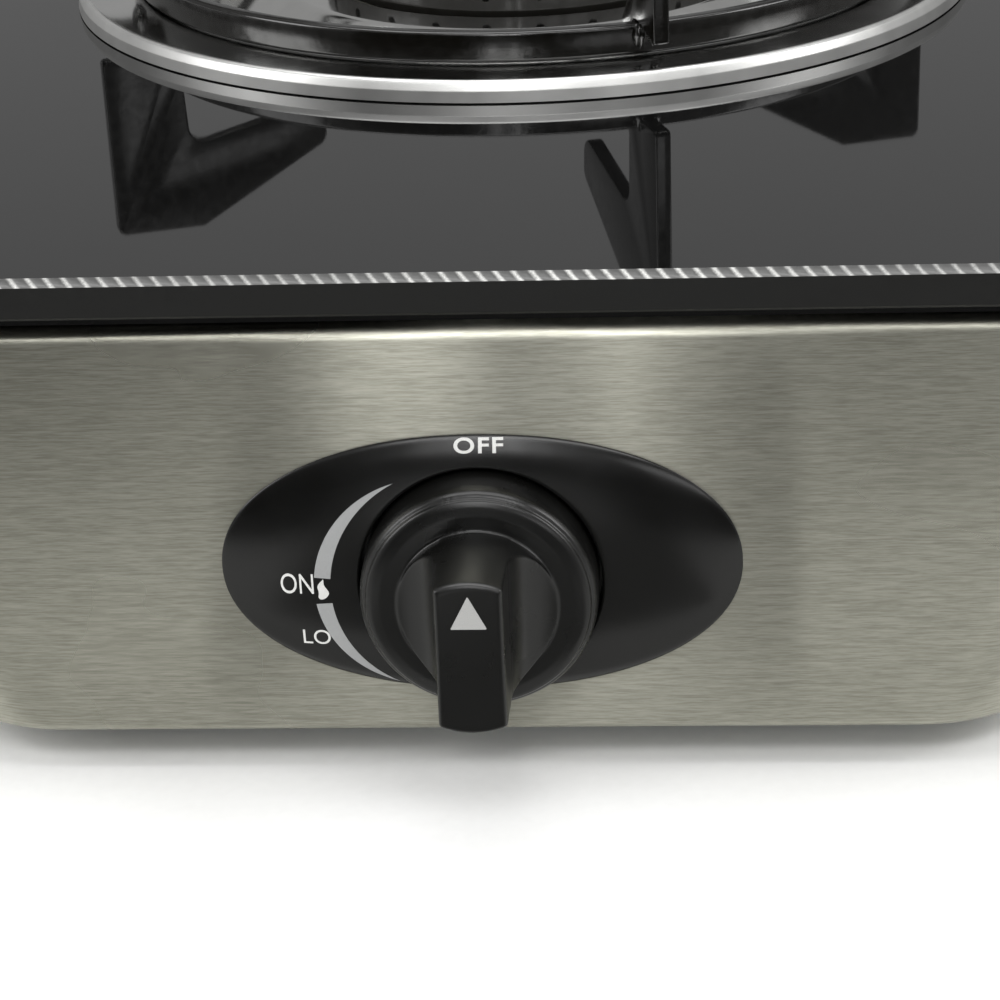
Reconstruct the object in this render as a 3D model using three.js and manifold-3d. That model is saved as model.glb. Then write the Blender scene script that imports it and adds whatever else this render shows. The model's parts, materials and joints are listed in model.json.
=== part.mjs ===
// Single-burner glass-top gas stove, in millimetres. +Z is up and the knob faces -Y. The origin
// is on the floor, under the centre of the whole stove's bounding box.

import * as THREE from 'three';
import { mergeVertices } from 'three/addons/utils/BufferGeometryUtils.js';
import Module from 'manifold-3d';

const wasm = await Module();
wasm.setup();

// ---------------------------------------------------------------- driving dimensions

const GAP = 0.3; // clearance between neighbouring pieces
const CUT = 1; // how far a cutting tool runs past the face it opens

// Heights of the main stack
const FOOT_HEIGHT = 8;
const BODY_HEIGHT = 85;
const GLASS_LIFT = 3.7; // space between body and glass, filled by the seal
const GLASS_THICKNESS = 8.1;
const BODY_BOTTOM = FOOT_HEIGHT;
const BODY_TOP = BODY_BOTTOM + BODY_HEIGHT;
const GLASS_BOTTOM = BODY_TOP + GLASS_LIFT;
const GLASS_TOP = GLASS_BOTTOM + GLASS_THICKNESS;

// Distances from the burner's centre to the front and back of things
const GLASS_FRONT_REACH = 216.5;
const GLASS_BACK_REACH = 183.5;
const PANEL_SETBACK = 3; // the body's front panel stands this far behind the glass edge
const BACK_SETBACK = 6;
const KNOB_LENGTH = 36.2; // from the front panel to the face of the grip
const NOZZLE_LENGTH = 30; // how far the hose nozzle stands out of the rear wall

const PANEL_REACH = GLASS_FRONT_REACH - PANEL_SETBACK;
const BACK_REACH = GLASS_BACK_REACH - BACK_SETBACK;
const BURNER_Y = (PANEL_REACH + KNOB_LENGTH - BACK_REACH - NOZZLE_LENGTH) / 2;
const PANEL_Y = BURNER_Y - PANEL_REACH;
const BACK_Y = BURNER_Y + BACK_REACH;

// Body shell of pressed sheet
const SHEET = 0.8;
const BODY_TOP_HALF = 137;
const BODY_BOTTOM_HALF = 114.5;
const BODY_TOP_CORNER = 14;
const BODY_BOTTOM_CORNER = 30;
const BACK_TAPER = 5; // the rear wall leans in by this much at the bottom
const BOTTOM_BEND = 1.6;
const TOP_BEND = 2.2;
const TOP_LIP = 12;
const BOTTOM_LIP = 12;
const CORNER_STEPS = 6;
const MIN_CORNER = 1;

// Glass top
const GLASS_HALF = 145;
const GLASS_CORNER = 18;
const GLASS_BEVEL = 1.4;
const GLASS_UNDER_BEVEL = 0.6;
const GLASS_HOLE = 93;

// Drip pan
const PAN_RADIUS = 110;
const PAN_BEAD = 5; // height of the rolled rim above the glass
const PAN_LEDGE = 4.8;
const PAN_HOLE = 50;
const PAN_SHEET = 0.8;

// Pot support
const BLADE_TURN = 19.2; // degrees from +X to the first blade
const BLADE_COUNT = 4;
const BLADE_THICKNESS = 3.6;
const RING_OUTER = 96;
const RING_THICKNESS = 3.4;
const RING_LOW = 5.1;
const RING_HIGH = 12;
const BLADE_REACH = 107;
const BLADE_OUTER_LOW = 9.6;
const BLADE_HEIGHT = 54.2;

// Knob and bezel, measured from the front panel towards the user
const KNOB_Z = GLASS_TOP - 62.6;
const KNOB_RADIUS = 22.8;
const RECESS_RADIUS = 23.4;
const CUP_DEPTH = 4.2;
const CUP_WALL = 0.9;
const BEZEL_Z = GLASS_TOP - 60;
const BEZEL_HALF_WIDTH = 50.2;
const BEZEL_HALF_HEIGHT = 27;
const BEZEL_POWER = 2.1;
const BEZEL_RISE = 4.1;
const GRIP_HALF_WIDTH = 6.6;
const GRIP_RADIUS = 15.4;
const BOSS_RADIUS = 15.3;
const KNOB_FRONT = 13.6; // face of the knob's disc, round the grip
const KNOB_WEB = 2.4;
const SCOOP_RADIUS = 11; // hollows at both sides of the grip
const SCOOP_REACH = KNOB_FRONT + SCOOP_RADIUS + 0.1;
const STEM_RADIUS = 3;

// Gas train, as depths behind the front panel
const CAM_DEPTH = 6;
const CAM_THICKNESS = 4;
const BRACKET_DEPTH = 15;
const VALVE_DEPTH = BRACKET_DEPTH + GAP;
const VALVE_FLANGE = 3;
const VALVE_BACK_DEPTH = 58;
const INLET_X = 66;
const INLET_Z = 40;
const TUBE_Z = 46;
const TUBE_RADIUS = 12.2;
const TUBE_WALL = 1.5;
const TUBE_BEND = 24;
const TUBE_MOUTH_DEPTH = 74;
const IGNITER_LOW = KNOB_Z + 17;
const IGNITER_HIGH = IGNITER_LOW + 32;

const ROUND = 32; // sides of a large round piece
const FINE = 48; // sides of the widest round pieces
const SMALL = 16; // sides of a small round piece
const TINY = 8; // sides of a screw

// ---------------------------------------------------------------- materials

const finish = (color, roughness, metalness) => ({ color, roughness, metalness });
const STAINLESS = finish(0xa9a79c, 0.35, 1);
const POLISHED = finish(0xd6d6d4, 0.12, 1);
const BLACK_GLASS = finish(0x141414, 0.05, 0);
const BLACK_ENAMEL = finish(0x15130f, 0.25, 0);
const BLACK_PLASTIC = finish(0x0d0d0c, 0.3, 0);
const RUBBER = finish(0x1c1c1c, 0.9, 0);
const ZINC = finish(0xb4b6b8, 0.4, 1);
const CAST = finish(0x8c8c88, 0.6, 1);
const BRASS = finish(0xb08d4a, 0.3, 1);
const GALVANISED = finish(0x9fa3a5, 0.5, 1);
const SPRING_STEEL = finish(0x8d8f92, 0.3, 1);
const CERAMIC = finish(0xe8e4da, 0.35, 0);
const WHITE_PLASTIC = finish(0xdedcd4, 0.5, 0);
const RED_SILICONE = finish(0x8c2f22, 0.7, 0);

// ---------------------------------------------------------------- solids from geometry

// Turns a closed three.js geometry into a solid, facing out.
function solid(geometry) {
  const bare = geometry.clone();
  bare.deleteAttribute('normal');
  bare.deleteAttribute('uv');
  const merged = mergeVertices(bare, 1e-4);
  const spots = merged.attributes.position.array;
  const corners = merged.index.array;
  const kept = [];
  let volume = 0;
  for (let i = 0; i < corners.length; i += 3) {
    const [a, b, c] = corners.slice(i, i + 3);
    if (a !== b && b !== c && c !== a) {
      kept.push(a, b, c);
      const [p, q, r] = [a, b, c].map((k) => new THREE.Vector3().fromArray(spots, 3 * k));
      volume += p.dot(q.cross(r));
    }
  }
  if (volume < 0) kept.reverse();
  return new wasm.Manifold(
    new wasm.Mesh({ numProp: 3, vertProperties: spots, triVerts: new Uint32Array(kept) }),
  );
}

function geometryOf(body) {
  const mesh = body.getMesh();
  const geometry = new THREE.BufferGeometry();
  geometry.setAttribute('position', new THREE.BufferAttribute(mesh.vertProperties, 3));
  geometry.setIndex(new THREE.BufferAttribute(mesh.triVerts, 1));
  geometry.computeVertexNormals();
  return geometry;
}

const join = (...bodies) => bodies.reduce((whole, body) => whole.add(body));
const cut = (body, ...tools) => tools.reduce((rest, tool) => rest.subtract(tool), body);

// A profile of [radius, height] pairs turned about a vertical axis through (x, y).
function turned(profile, sides, x = 0, y = 0, z = 0) {
  const points = profile.map(([radius, height]) => new THREE.Vector2(radius, height));
  const onAxis = profile[0][0] === 0 && profile.at(-1)[0] === 0;
  if (!onAxis) points.push(points[0].clone());
  const geometry = new THREE.LatheGeometry(points, sides);
  return solid(geometry.rotateX(Math.PI / 2).translate(x, y, z));
}

// The same, turned about an axis along -Y: heights become distances in front of y.
function turnedForward(profile, sides, x, y, z) {
  const points = profile.map(([radius, height]) => new THREE.Vector2(radius, height));
  const onAxis = profile[0][0] === 0 && profile.at(-1)[0] === 0;
  if (!onAxis) points.push(points[0].clone());
  const geometry = new THREE.LatheGeometry(points, sides);
  return solid(geometry.rotateX(Math.PI).translate(x, y, z));
}

function rod(radius, low, high, sides, x = 0, y = 0) {
  return turned([[0, low], [radius, low], [radius, high], [0, high]], sides, x, y);
}

// A rod along Y between two Y values.
function rodAlongY(radius, front, back, sides, x, z) {
  const geometry = new THREE.CylinderGeometry(radius, radius, back - front, sides);
  return solid(geometry.translate(x, (front + back) / 2, z));
}

function rodAlongX(radius, left, right, sides, y, z) {
  const geometry = new THREE.CylinderGeometry(radius, radius, right - left, sides);
  return solid(geometry.rotateZ(Math.PI / 2).translate((left + right) / 2, y, z));
}

// A box from its lowest to its highest corner.
function block(low, high) {
  const size = high.map((value, i) => value - low[i]);
  const middle = high.map((value, i) => (value + low[i]) / 2);
  return solid(new THREE.BoxGeometry(...size).translate(...middle));
}

// A rounded rectangle seen from above, moved inwards by inset.
function roundedOutline({ half, front, back, corner }, inset = 0) {
  const radius = Math.max(corner - inset, MIN_CORNER);
  const right = half - inset - radius;
  const low = front + inset + radius;
  const high = back - inset - radius;
  const centres = [[right, low, -90], [right, high, 0], [-right, high, 90], [-right, low, 180]];
  return centres.flatMap(([x, y, start]) =>
    Array.from({ length: CORNER_STEPS + 1 }, (_, step) => {
      const angle = THREE.MathUtils.degToRad(start + (90 * step) / CORNER_STEPS);
      return new THREE.Vector2(x + radius * Math.cos(angle), y + radius * Math.sin(angle));
    }),
  );
}

// A solid through stacked outlines of equal point count: levels of [height, outline].
function lofted(levels) {
  const count = levels[0][1].length;
  const spots = levels.flatMap(([z, outline]) => outline.flatMap((p) => [p.x, p.y, z]));
  const faces = [];
  for (let level = 0; level + 1 < levels.length; level += 1) {
    for (let i = 0; i < count; i += 1) {
      const a = level * count + i;
      const b = level * count + ((i + 1) % count);
      faces.push(a, b, b + count, a, b + count, a + count);
    }
  }
  const lid = THREE.ShapeUtils.triangulateShape(levels[0][1], []);
  const top = (levels.length - 1) * count;
  for (const [a, b, c] of lid) {
    faces.push(c, b, a, top + a, top + b, top + c);
  }
  const geometry = new THREE.BufferGeometry();
  geometry.setAttribute('position', new THREE.Float32BufferAttribute(spots, 3));
  geometry.setIndex(faces);
  return solid(geometry);
}

// An outline in the XZ plane carried forwards: levels of [distance in front of the panel, outline].
function loftedForward(levels) {
  const upright = lofted(levels.map(([depth, outline]) => [depth, outline]));
  const geometry = geometryOf(upright);
  return solid(geometry.rotateX(Math.PI / 2).translate(0, PANEL_Y, 0));
}

// A hollow tube along a path; a bore of 0 makes it solid.
function tube(path, radius, bore, sides, steps) {
  const section = new THREE.Shape().absarc(0, 0, radius, 0, 2 * Math.PI);
  if (bore > 0) section.holes.push(new THREE.Path().absarc(0, 0, bore, 0, 2 * Math.PI, true));
  return solid(
    new THREE.ExtrudeGeometry(section, { steps, curveSegments: sides, extrudePath: path }),
  );
}

// The closed section of a thin sheet whose upper side follows the given points.
function sheetSection(points, thickness) {
  const under = points.map(([x, y], i) => {
    const [x0, y0] = points[Math.max(i - 1, 0)];
    const [x1, y1] = points[Math.min(i + 1, points.length - 1)];
    const length = Math.hypot(x1 - x0, y1 - y0);
    return [x + ((y1 - y0) * thickness) / length, y - ((x1 - x0) * thickness) / length];
  });
  return [...points, ...under.reverse()];
}

// ---------------------------------------------------------------- the assembly

const stove = new THREE.Group();

function add(name, body, { color, roughness, metalness }) {
  const material = new THREE.MeshStandardMaterial({ color, roughness, metalness });
  const mesh = new THREE.Mesh(geometryOf(body), material);
  mesh.name = name;
  stove.add(mesh);
}

const bodyPlan = {
  half: BODY_TOP_HALF,
  front: PANEL_Y,
  back: BACK_Y,
  corner: BODY_TOP_CORNER,
};

// The body's outline at a height: sides and back lean in and the corners widen downwards.
function bodyOutline(z, inset) {
  const drop = 1 - (z - BODY_BOTTOM) / BODY_HEIGHT;
  return roundedOutline(
    {
      half: THREE.MathUtils.lerp(BODY_TOP_HALF, BODY_BOTTOM_HALF, drop),
      front: PANEL_Y,
      back: BACK_Y - BACK_TAPER * drop,
      corner: THREE.MathUtils.lerp(BODY_TOP_CORNER, BODY_BOTTOM_CORNER, drop),
    },
    inset,
  );
}

// Places that repeat at the four corners of the base.
const FOOT_X = 84;
const FOOT_FRONT_Y = PANEL_Y + 34;
const FOOT_BACK_Y = BACK_Y - BACK_TAPER - 34;
const footSpots = [
  [-FOOT_X, FOOT_FRONT_Y],
  [FOOT_X, FOOT_FRONT_Y],
  [-FOOT_X, FOOT_BACK_Y],
  [FOOT_X, FOOT_BACK_Y],
];
const LIP_MIDDLE = 6.5; // screws sit this far in from the body's outline
const baseScrewSpots = [
  [0, PANEL_Y + LIP_MIDDLE],
  [0, BACK_Y - BACK_TAPER - LIP_MIDDLE],
  [-(BODY_BOTTOM_HALF - LIP_MIDDLE), BURNER_Y - 20],
  [BODY_BOTTOM_HALF - LIP_MIDDLE, BURNER_Y - 20],
];
const BASE_LOW = BODY_BOTTOM + SHEET + GAP;
const BASE_THICKNESS = 1;
const BASE_TOP = BASE_LOW + BASE_THICKNESS;
const SCREW_RADIUS = 1.5;
const SCREW_HOLE = SCREW_RADIUS + GAP;
const BRACKET_FOOT_X = 52;

const BEZEL_SCREW_X = 32;
const VENT_COUNT = 8;
const VENT_PITCH = 11;
const VENT_WIDTH = 3;
const VENT_MIDDLE_X = -20;

function bodyShell() {
  const outer = lofted([
    [BODY_BOTTOM, bodyOutline(BODY_BOTTOM, BOTTOM_BEND)],
    [BODY_BOTTOM + 0.4 * BOTTOM_BEND, bodyOutline(BODY_BOTTOM, 0.4 * BOTTOM_BEND)],
    [BODY_BOTTOM + BOTTOM_BEND, bodyOutline(BODY_BOTTOM + BOTTOM_BEND, 0)],
    [BODY_TOP - TOP_BEND, bodyOutline(BODY_TOP - TOP_BEND, 0)],
    [BODY_TOP - 0.3 * TOP_BEND, bodyOutline(BODY_TOP, 0.3 * TOP_BEND)],
    [BODY_TOP, bodyOutline(BODY_TOP, TOP_BEND)],
  ]);
  const inner = lofted([
    [BODY_BOTTOM + SHEET, bodyOutline(BODY_BOTTOM + SHEET, SHEET + 0.4)],
    [BODY_TOP - SHEET, bodyOutline(BODY_TOP - SHEET, SHEET + 0.4)],
  ]);
  const mouths = [
    [BODY_BOTTOM, BOTTOM_LIP],
    [BODY_TOP, TOP_LIP],
  ].map(([z, lip]) =>
    lofted([[z - 2 * CUT, bodyOutline(z, lip)], [z + 2 * CUT, bodyOutline(z, lip)]]),
  );
  const cup = rodAlongY(RECESS_RADIUS + CUP_WALL + GAP, PANEL_Y - CUT, PANEL_Y + 3, ROUND, 0, KNOB_Z);
  const inletHole = rodAlongY(6 + GAP, BACK_Y - 20, BACK_Y + CUT, SMALL, INLET_X, INLET_Z);
  const screwHoles = baseScrewSpots.map(([x, y]) =>
    rod(SCREW_HOLE, BODY_BOTTOM - CUT, BODY_BOTTOM + 2, TINY, x, y),
  );
  const bezelHoles = [-1, 1].map((side) =>
    rodAlongY(SCREW_HOLE, PANEL_Y - CUT, PANEL_Y + 3, TINY, side * BEZEL_SCREW_X, KNOB_Z),
  );
  const vents = Array.from({ length: VENT_COUNT }, (_, i) => {
    const x = (i - (VENT_COUNT - 1) / 2) * VENT_PITCH + VENT_MIDDLE_X;
    return block([x - VENT_WIDTH / 2, BACK_Y - 20, 34], [x + VENT_WIDTH / 2, BACK_Y + CUT, 62]);
  });
  return cut(outer, inner, ...mouths, cup, inletHole, ...screwHoles, ...bezelHoles, ...vents);
}
add('body_shell', bodyShell(), STAINLESS);

// Base plate, inside the turned-in lip, with a ring of cooling slots under the burner.
const SLOT_COUNT = 10;
const SLOT_INNER = 52;
const SLOT_OUTER = 72;
const SLOT_WIDTH = 3.4;
function basePlate() {
  const edge = bodyOutline(BASE_LOW, SHEET + 3.2);
  const slots = Array.from({ length: SLOT_COUNT }, (_, i) => {
    const slot = new THREE.BoxGeometry(SLOT_OUTER - SLOT_INNER, SLOT_WIDTH, 4 * CUT);
    slot.translate((SLOT_OUTER + SLOT_INNER) / 2, 0, BASE_LOW);
    slot.rotateZ((2 * Math.PI * (i + 0.5)) / SLOT_COUNT).translate(0, BURNER_Y, 0);
    return solid(slot);
  });
  const holes = [
    ...footSpots,
    ...baseScrewSpots,
    [-BRACKET_FOOT_X, BURNER_Y],
    [BRACKET_FOOT_X, BURNER_Y],
  ].map(([x, y]) => rod(SCREW_HOLE, BASE_LOW - CUT, BASE_TOP + CUT, TINY, x, y));
  return cut(lofted([[BASE_LOW, edge], [BASE_TOP, edge]]), ...slots, ...holes);
}
add('base_plate', basePlate(), GALVANISED);

// A pan-head screw whose head is under the plates that it holds.
function screwFromBelow(headTop, tip, x, y, headRadius = 3, headHeight = 1.6) {
  return turned(
    [
      [0, headTop - headHeight],
      [0.75 * headRadius, headTop - headHeight],
      [headRadius, headTop - 0.4 * headHeight],
      [headRadius, headTop],
      [SCREW_RADIUS, headTop],
      [SCREW_RADIUS, tip],
      [0, tip],
    ],
    TINY,
    x,
    y,
  );
}

const FOOT_RECESS = 4.5;
footSpots.forEach(([x, y], i) => {
  const profile = [
    [SCREW_HOLE, BASE_LOW - GAP],
    [9.6, BASE_LOW - GAP],
    [10.6, 1.2],
    [9.8, 0],
    [4.4, 0],
    [4.4, FOOT_RECESS],
    [SCREW_HOLE, FOOT_RECESS],
  ];
  add(`rubber_foot_${i + 1}`, turned(profile, SMALL, x, y), RUBBER);
  add(`foot_screw_${i + 1}`, screwFromBelow(FOOT_RECESS - GAP, BASE_TOP + 3, x, y), ZINC);
});
baseScrewSpots.forEach(([x, y], i) => {
  add(`base_screw_${i + 1}`, screwFromBelow(BODY_BOTTOM - GAP, BASE_TOP + 3, x, y), ZINC);
});

// ---------------------------------------------------------------- glass and its seal

const glassPlan = {
  half: GLASS_HALF,
  front: BURNER_Y - GLASS_FRONT_REACH,
  back: BURNER_Y + GLASS_BACK_REACH,
  corner: GLASS_CORNER,
};
const glassSheet = lofted([
  [GLASS_BOTTOM, roundedOutline(glassPlan, GLASS_UNDER_BEVEL)],
  [GLASS_BOTTOM + GLASS_UNDER_BEVEL, roundedOutline(glassPlan)],
  [GLASS_TOP - GLASS_BEVEL, roundedOutline(glassPlan)],
  [GLASS_TOP, roundedOutline(glassPlan, GLASS_BEVEL)],
]);
const glassHole = rod(GLASS_HOLE, GLASS_BOTTOM - CUT, GLASS_TOP + CUT, FINE, 0, BURNER_Y);
add('glass_top', cut(glassSheet, glassHole), BLACK_GLASS);

const SEAL_SETBACK = 4;
const SEAL_WIDTH = 7;
const sealSpan = [BODY_TOP + GAP, GLASS_BOTTOM - GAP];
const sealOuter = lofted(sealSpan.map((z) => [z, roundedOutline(bodyPlan, SEAL_SETBACK)]));
const sealInner = lofted([
  [BODY_TOP, roundedOutline(bodyPlan, SEAL_SETBACK + SEAL_WIDTH)],
  [GLASS_BOTTOM, roundedOutline(bodyPlan, SEAL_SETBACK + SEAL_WIDTH)],
]);
add('glass_seal', cut(sealOuter, sealInner), RUBBER);

// ---------------------------------------------------------------- drip pan

// Heights are above the glass: a raised collar round the burner, a moat, a ledge and a rolled rim.
const ELECTRODE_TURN = 118;
const ELECTRODE_RADIUS = 55.5;
const electrodeAngle = THREE.MathUtils.degToRad(ELECTRODE_TURN);
const ELECTRODE_X = ELECTRODE_RADIUS * Math.cos(electrodeAngle);
const ELECTRODE_Y = BURNER_Y + ELECTRODE_RADIUS * Math.sin(electrodeAngle);
const panPoints = [
  [PAN_HOLE, -1.5],
  [PAN_HOLE + 0.8, 3.4],
  [62, 3.4],
  [75, -5],
  [85, -5],
  [91, PAN_LEDGE],
  [105, PAN_LEDGE],
  [108.3, PAN_BEAD],
  [109.5, 3.6],
  [PAN_RADIUS, GAP],
];
const pan = turned(sheetSection(panPoints, PAN_SHEET), FINE, 0, BURNER_Y, GLASS_TOP);
const electrodeHole = rod(4.2, GLASS_TOP - 4, GLASS_TOP + 8, SMALL, ELECTRODE_X, ELECTRODE_Y);
add('drip_pan', cut(pan, electrodeHole), POLISHED);

// ---------------------------------------------------------------- pot support

const ringProfile = [
  [RING_OUTER - RING_THICKNESS, RING_LOW],
  [RING_OUTER, RING_LOW],
  [RING_OUTER, RING_HIGH],
  [RING_OUTER - RING_THICKNESS, RING_HIGH],
];
add('support_ring', turned(ringProfile, FINE, 0, BURNER_Y, GLASS_TOP), BLACK_ENAMEL);

// One blade: x is the distance from the burner's centre and y the height above the glass. Its
// foot straddles the ring and rests inside it on the pan's ledge, and its arm slopes down to a
// round tip.
function bladeShape() {
  const low = PAN_LEDGE + GAP;
  const footInner = 88;
  const notchInner = RING_OUTER - RING_THICKNESS - GAP;
  const notchOuter = RING_OUTER + GAP;
  const shape = new THREE.Shape();
  shape.moveTo(footInner, low);
  shape.lineTo(notchInner, low);
  shape.lineTo(notchInner, RING_HIGH + GAP);
  shape.lineTo(notchOuter, RING_HIGH + GAP);
  shape.lineTo(notchOuter, BLADE_OUTER_LOW);
  shape.lineTo(BLADE_REACH - 1, BLADE_OUTER_LOW);
  shape.lineTo(BLADE_REACH, BLADE_OUTER_LOW + 1);
  shape.lineTo(BLADE_REACH - 0.4, BLADE_HEIGHT - 2);
  shape.quadraticCurveTo(BLADE_REACH - 0.4, BLADE_HEIGHT, BLADE_REACH - 2.4, BLADE_HEIGHT);
  shape.lineTo(86.4, BLADE_HEIGHT);
  shape.quadraticCurveTo(85.4, BLADE_HEIGHT, 84.5, BLADE_HEIGHT - 0.5);
  shape.lineTo(56.5, 38);
  shape.quadraticCurveTo(52.5, 35.4, 53, 31.5);
  shape.quadraticCurveTo(54, 26, 59, 26.4);
  shape.lineTo(82.5, 32);
  shape.quadraticCurveTo(86.6, 32.8, 86.8, 29);
  shape.lineTo(87.6, 17);
  shape.quadraticCurveTo(87, 13, 84, 10.5);
  shape.lineTo(footInner, 6);
  return shape;
}
for (let i = 0; i < BLADE_COUNT; i += 1) {
  const blade = new THREE.ExtrudeGeometry(bladeShape(), {
    depth: BLADE_THICKNESS,
    bevelEnabled: false,
    curveSegments: 4,
  });
  blade.translate(0, 0, -BLADE_THICKNESS / 2).rotateX(Math.PI / 2);
  blade.rotateZ(THREE.MathUtils.degToRad(BLADE_TURN) + (2 * Math.PI * i) / BLADE_COUNT);
  add(`support_blade_${i + 1}`, solid(blade.translate(0, BURNER_Y, GLASS_TOP)), BLACK_ENAMEL);
}

// ---------------------------------------------------------------- burner

// Heights are above the glass.
const BOWL_LOW = -40;
const COLLAR_RADIUS = 24;
const COLLAR_BORE = TUBE_RADIUS + 3 * GAP;
const BURNER_SCREW_X = 19.5;
const bowl = turned(
  [
    [COLLAR_BORE, BOWL_LOW],
    [COLLAR_RADIUS, BOWL_LOW],
    [COLLAR_RADIUS, -35],
    [31, -31],
    [44, -17],
    [46.5, -6],
    [46.5, 1.6],
    [43.4, 1.6],
    [43.4, -6],
    [41, -15],
    [29, -28],
    [COLLAR_BORE, -31],
  ],
  ROUND,
  0,
  BURNER_Y,
  GLASS_TOP,
);
const burnerScrewXs = [-BURNER_SCREW_X, BURNER_SCREW_X];
const bowlHoles = burnerScrewXs.map((x) =>
  rod(SCREW_HOLE, GLASS_TOP + BOWL_LOW - CUT, GLASS_TOP + BOWL_LOW + 6, TINY, x, BURNER_Y),
);
add('burner_body', cut(bowl, ...bowlHoles), CAST);

const PORT_COUNT = 24;
const PORT_WIDTH = 2;
const crown = turned(
  [
    [39.6, -3],
    [43, -3],
    [43, 1.6 + GAP],
    [47.6, 1.6 + GAP],
    [48.6, 4],
    [48.6, 12.5],
    [46.6, 15],
    [37, 15],
    [37, 12],
    [40.4, 9],
  ],
  ROUND,
  0,
  BURNER_Y,
  GLASS_TOP,
);
const ports = Array.from({ length: PORT_COUNT }, (_, i) => {
  const port = new THREE.BoxGeometry(14, PORT_WIDTH, 4.5).translate(46, 0, GLASS_TOP + 8.4);
  port.rotateZ((2 * Math.PI * (i + 0.5)) / PORT_COUNT).translate(0, BURNER_Y, 0);
  return solid(port);
});
add('burner_head', cut(crown, ...ports), BLACK_ENAMEL);

const capProfile = [
  [0, 12.6],
  [36.6, 12.6],
  [36.6, 15 + GAP],
  [43.5, 15 + GAP],
  [44, 17.2],
  [40, 20],
  [26, 22],
  [0, 22.6],
];
add('burner_cap', turned(capProfile, ROUND, 0, BURNER_Y, GLASS_TOP), BLACK_ENAMEL);

// Mixing tube: level from its mouth, then a quarter bend up into the burner's collar.
const mouthY = PANEL_Y + TUBE_MOUTH_DEPTH;
const bendZ = TUBE_Z + TUBE_BEND;
const mixingPath = new THREE.CurvePath();
mixingPath.add(
  new THREE.LineCurve3(
    new THREE.Vector3(0, mouthY, TUBE_Z),
    new THREE.Vector3(0, BURNER_Y - TUBE_BEND, TUBE_Z),
  ),
);
mixingPath.add(
  new THREE.QuadraticBezierCurve3(
    new THREE.Vector3(0, BURNER_Y - TUBE_BEND, TUBE_Z),
    new THREE.Vector3(0, BURNER_Y, TUBE_Z),
    new THREE.Vector3(0, BURNER_Y, bendZ),
  ),
);
mixingPath.add(
  new THREE.LineCurve3(
    new THREE.Vector3(0, BURNER_Y, bendZ),
    new THREE.Vector3(0, BURNER_Y, GLASS_TOP - 31),
  ),
);
add('mixing_tube', tube(mixingPath, TUBE_RADIUS, TUBE_RADIUS - TUBE_WALL, 6, 16), CAST);

// Air shutter: a cup round the tube's mouth with two windows and a lever.
const SHUTTER_LENGTH = 14;
const SHUTTER_OUTER = TUBE_RADIUS + 2;
const shutterCup = cut(
  rodAlongY(SHUTTER_OUTER, mouthY - 4, mouthY + SHUTTER_LENGTH, SMALL, 0, TUBE_Z),
  rodAlongY(TUBE_RADIUS + GAP + 0.2, mouthY - 3, mouthY + SHUTTER_LENGTH + CUT, SMALL, 0, TUBE_Z),
  rodAlongY(5.5, mouthY - 5, mouthY, SMALL, 0, TUBE_Z),
);
const shutterLever = block(
  [-1.5, mouthY + 8, TUBE_Z - SHUTTER_OUTER - 9],
  [1.5, mouthY + 9.5, TUBE_Z - SHUTTER_OUTER + 0.8],
);
const shutterWindows = [-1, 1].map((side) =>
  block(
    [side > 0 ? 8 : -16, mouthY - 2.6, TUBE_Z - 4],
    [side > 0 ? 16 : -8, mouthY + 3, TUBE_Z + 4],
  ),
);
add('air_shutter', join(cut(shutterCup, ...shutterWindows), shutterLever), ZINC);

// Bracket: a bridge of strip that carries the burner's collar over the base plate.
const STRIP = 1.5;
const STRIP_HALF_WIDTH = 20;
const bridgeTop = GLASS_TOP + BOWL_LOW - GAP;
const bridgeShape = new THREE.Shape();
const BRIDGE_HALF = 38;
bridgeShape.moveTo(-BRACKET_FOOT_X - 7, BASE_TOP + GAP);
bridgeShape.lineTo(-BRIDGE_HALF + STRIP, BASE_TOP + GAP);
bridgeShape.lineTo(-BRIDGE_HALF + STRIP, bridgeTop - STRIP);
bridgeShape.lineTo(BRIDGE_HALF - STRIP, bridgeTop - STRIP);
bridgeShape.lineTo(BRIDGE_HALF - STRIP, BASE_TOP + GAP);
bridgeShape.lineTo(BRACKET_FOOT_X + 7, BASE_TOP + GAP);
bridgeShape.lineTo(BRACKET_FOOT_X + 7, BASE_TOP + GAP + STRIP);
bridgeShape.lineTo(BRIDGE_HALF, BASE_TOP + GAP + STRIP);
bridgeShape.lineTo(BRIDGE_HALF, bridgeTop);
bridgeShape.lineTo(-BRIDGE_HALF, bridgeTop);
bridgeShape.lineTo(-BRIDGE_HALF, BASE_TOP + GAP + STRIP);
bridgeShape.lineTo(-BRACKET_FOOT_X - 7, BASE_TOP + GAP + STRIP);
const bridge = solid(
  new THREE.ExtrudeGeometry(bridgeShape, { depth: 2 * STRIP_HALF_WIDTH, bevelEnabled: false })
    .rotateX(Math.PI / 2)
    .translate(0, BURNER_Y + STRIP_HALF_WIDTH, 0),
);
const bridgeHoles = [
  rod(TUBE_RADIUS + 3, bridgeTop - 4, bridgeTop + CUT, ROUND / 2, 0, BURNER_Y - 0.6),
  ...burnerScrewXs.map((x) => rod(SCREW_HOLE, bridgeTop - 4, bridgeTop + CUT, TINY, x, BURNER_Y)),
  ...[-1, 1].map((side) =>
    rod(SCREW_HOLE, BASE_TOP, BASE_TOP + 4, TINY, side * BRACKET_FOOT_X, BURNER_Y),
  ),
];
add('burner_bracket', cut(bridge, ...bridgeHoles), GALVANISED);
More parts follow.
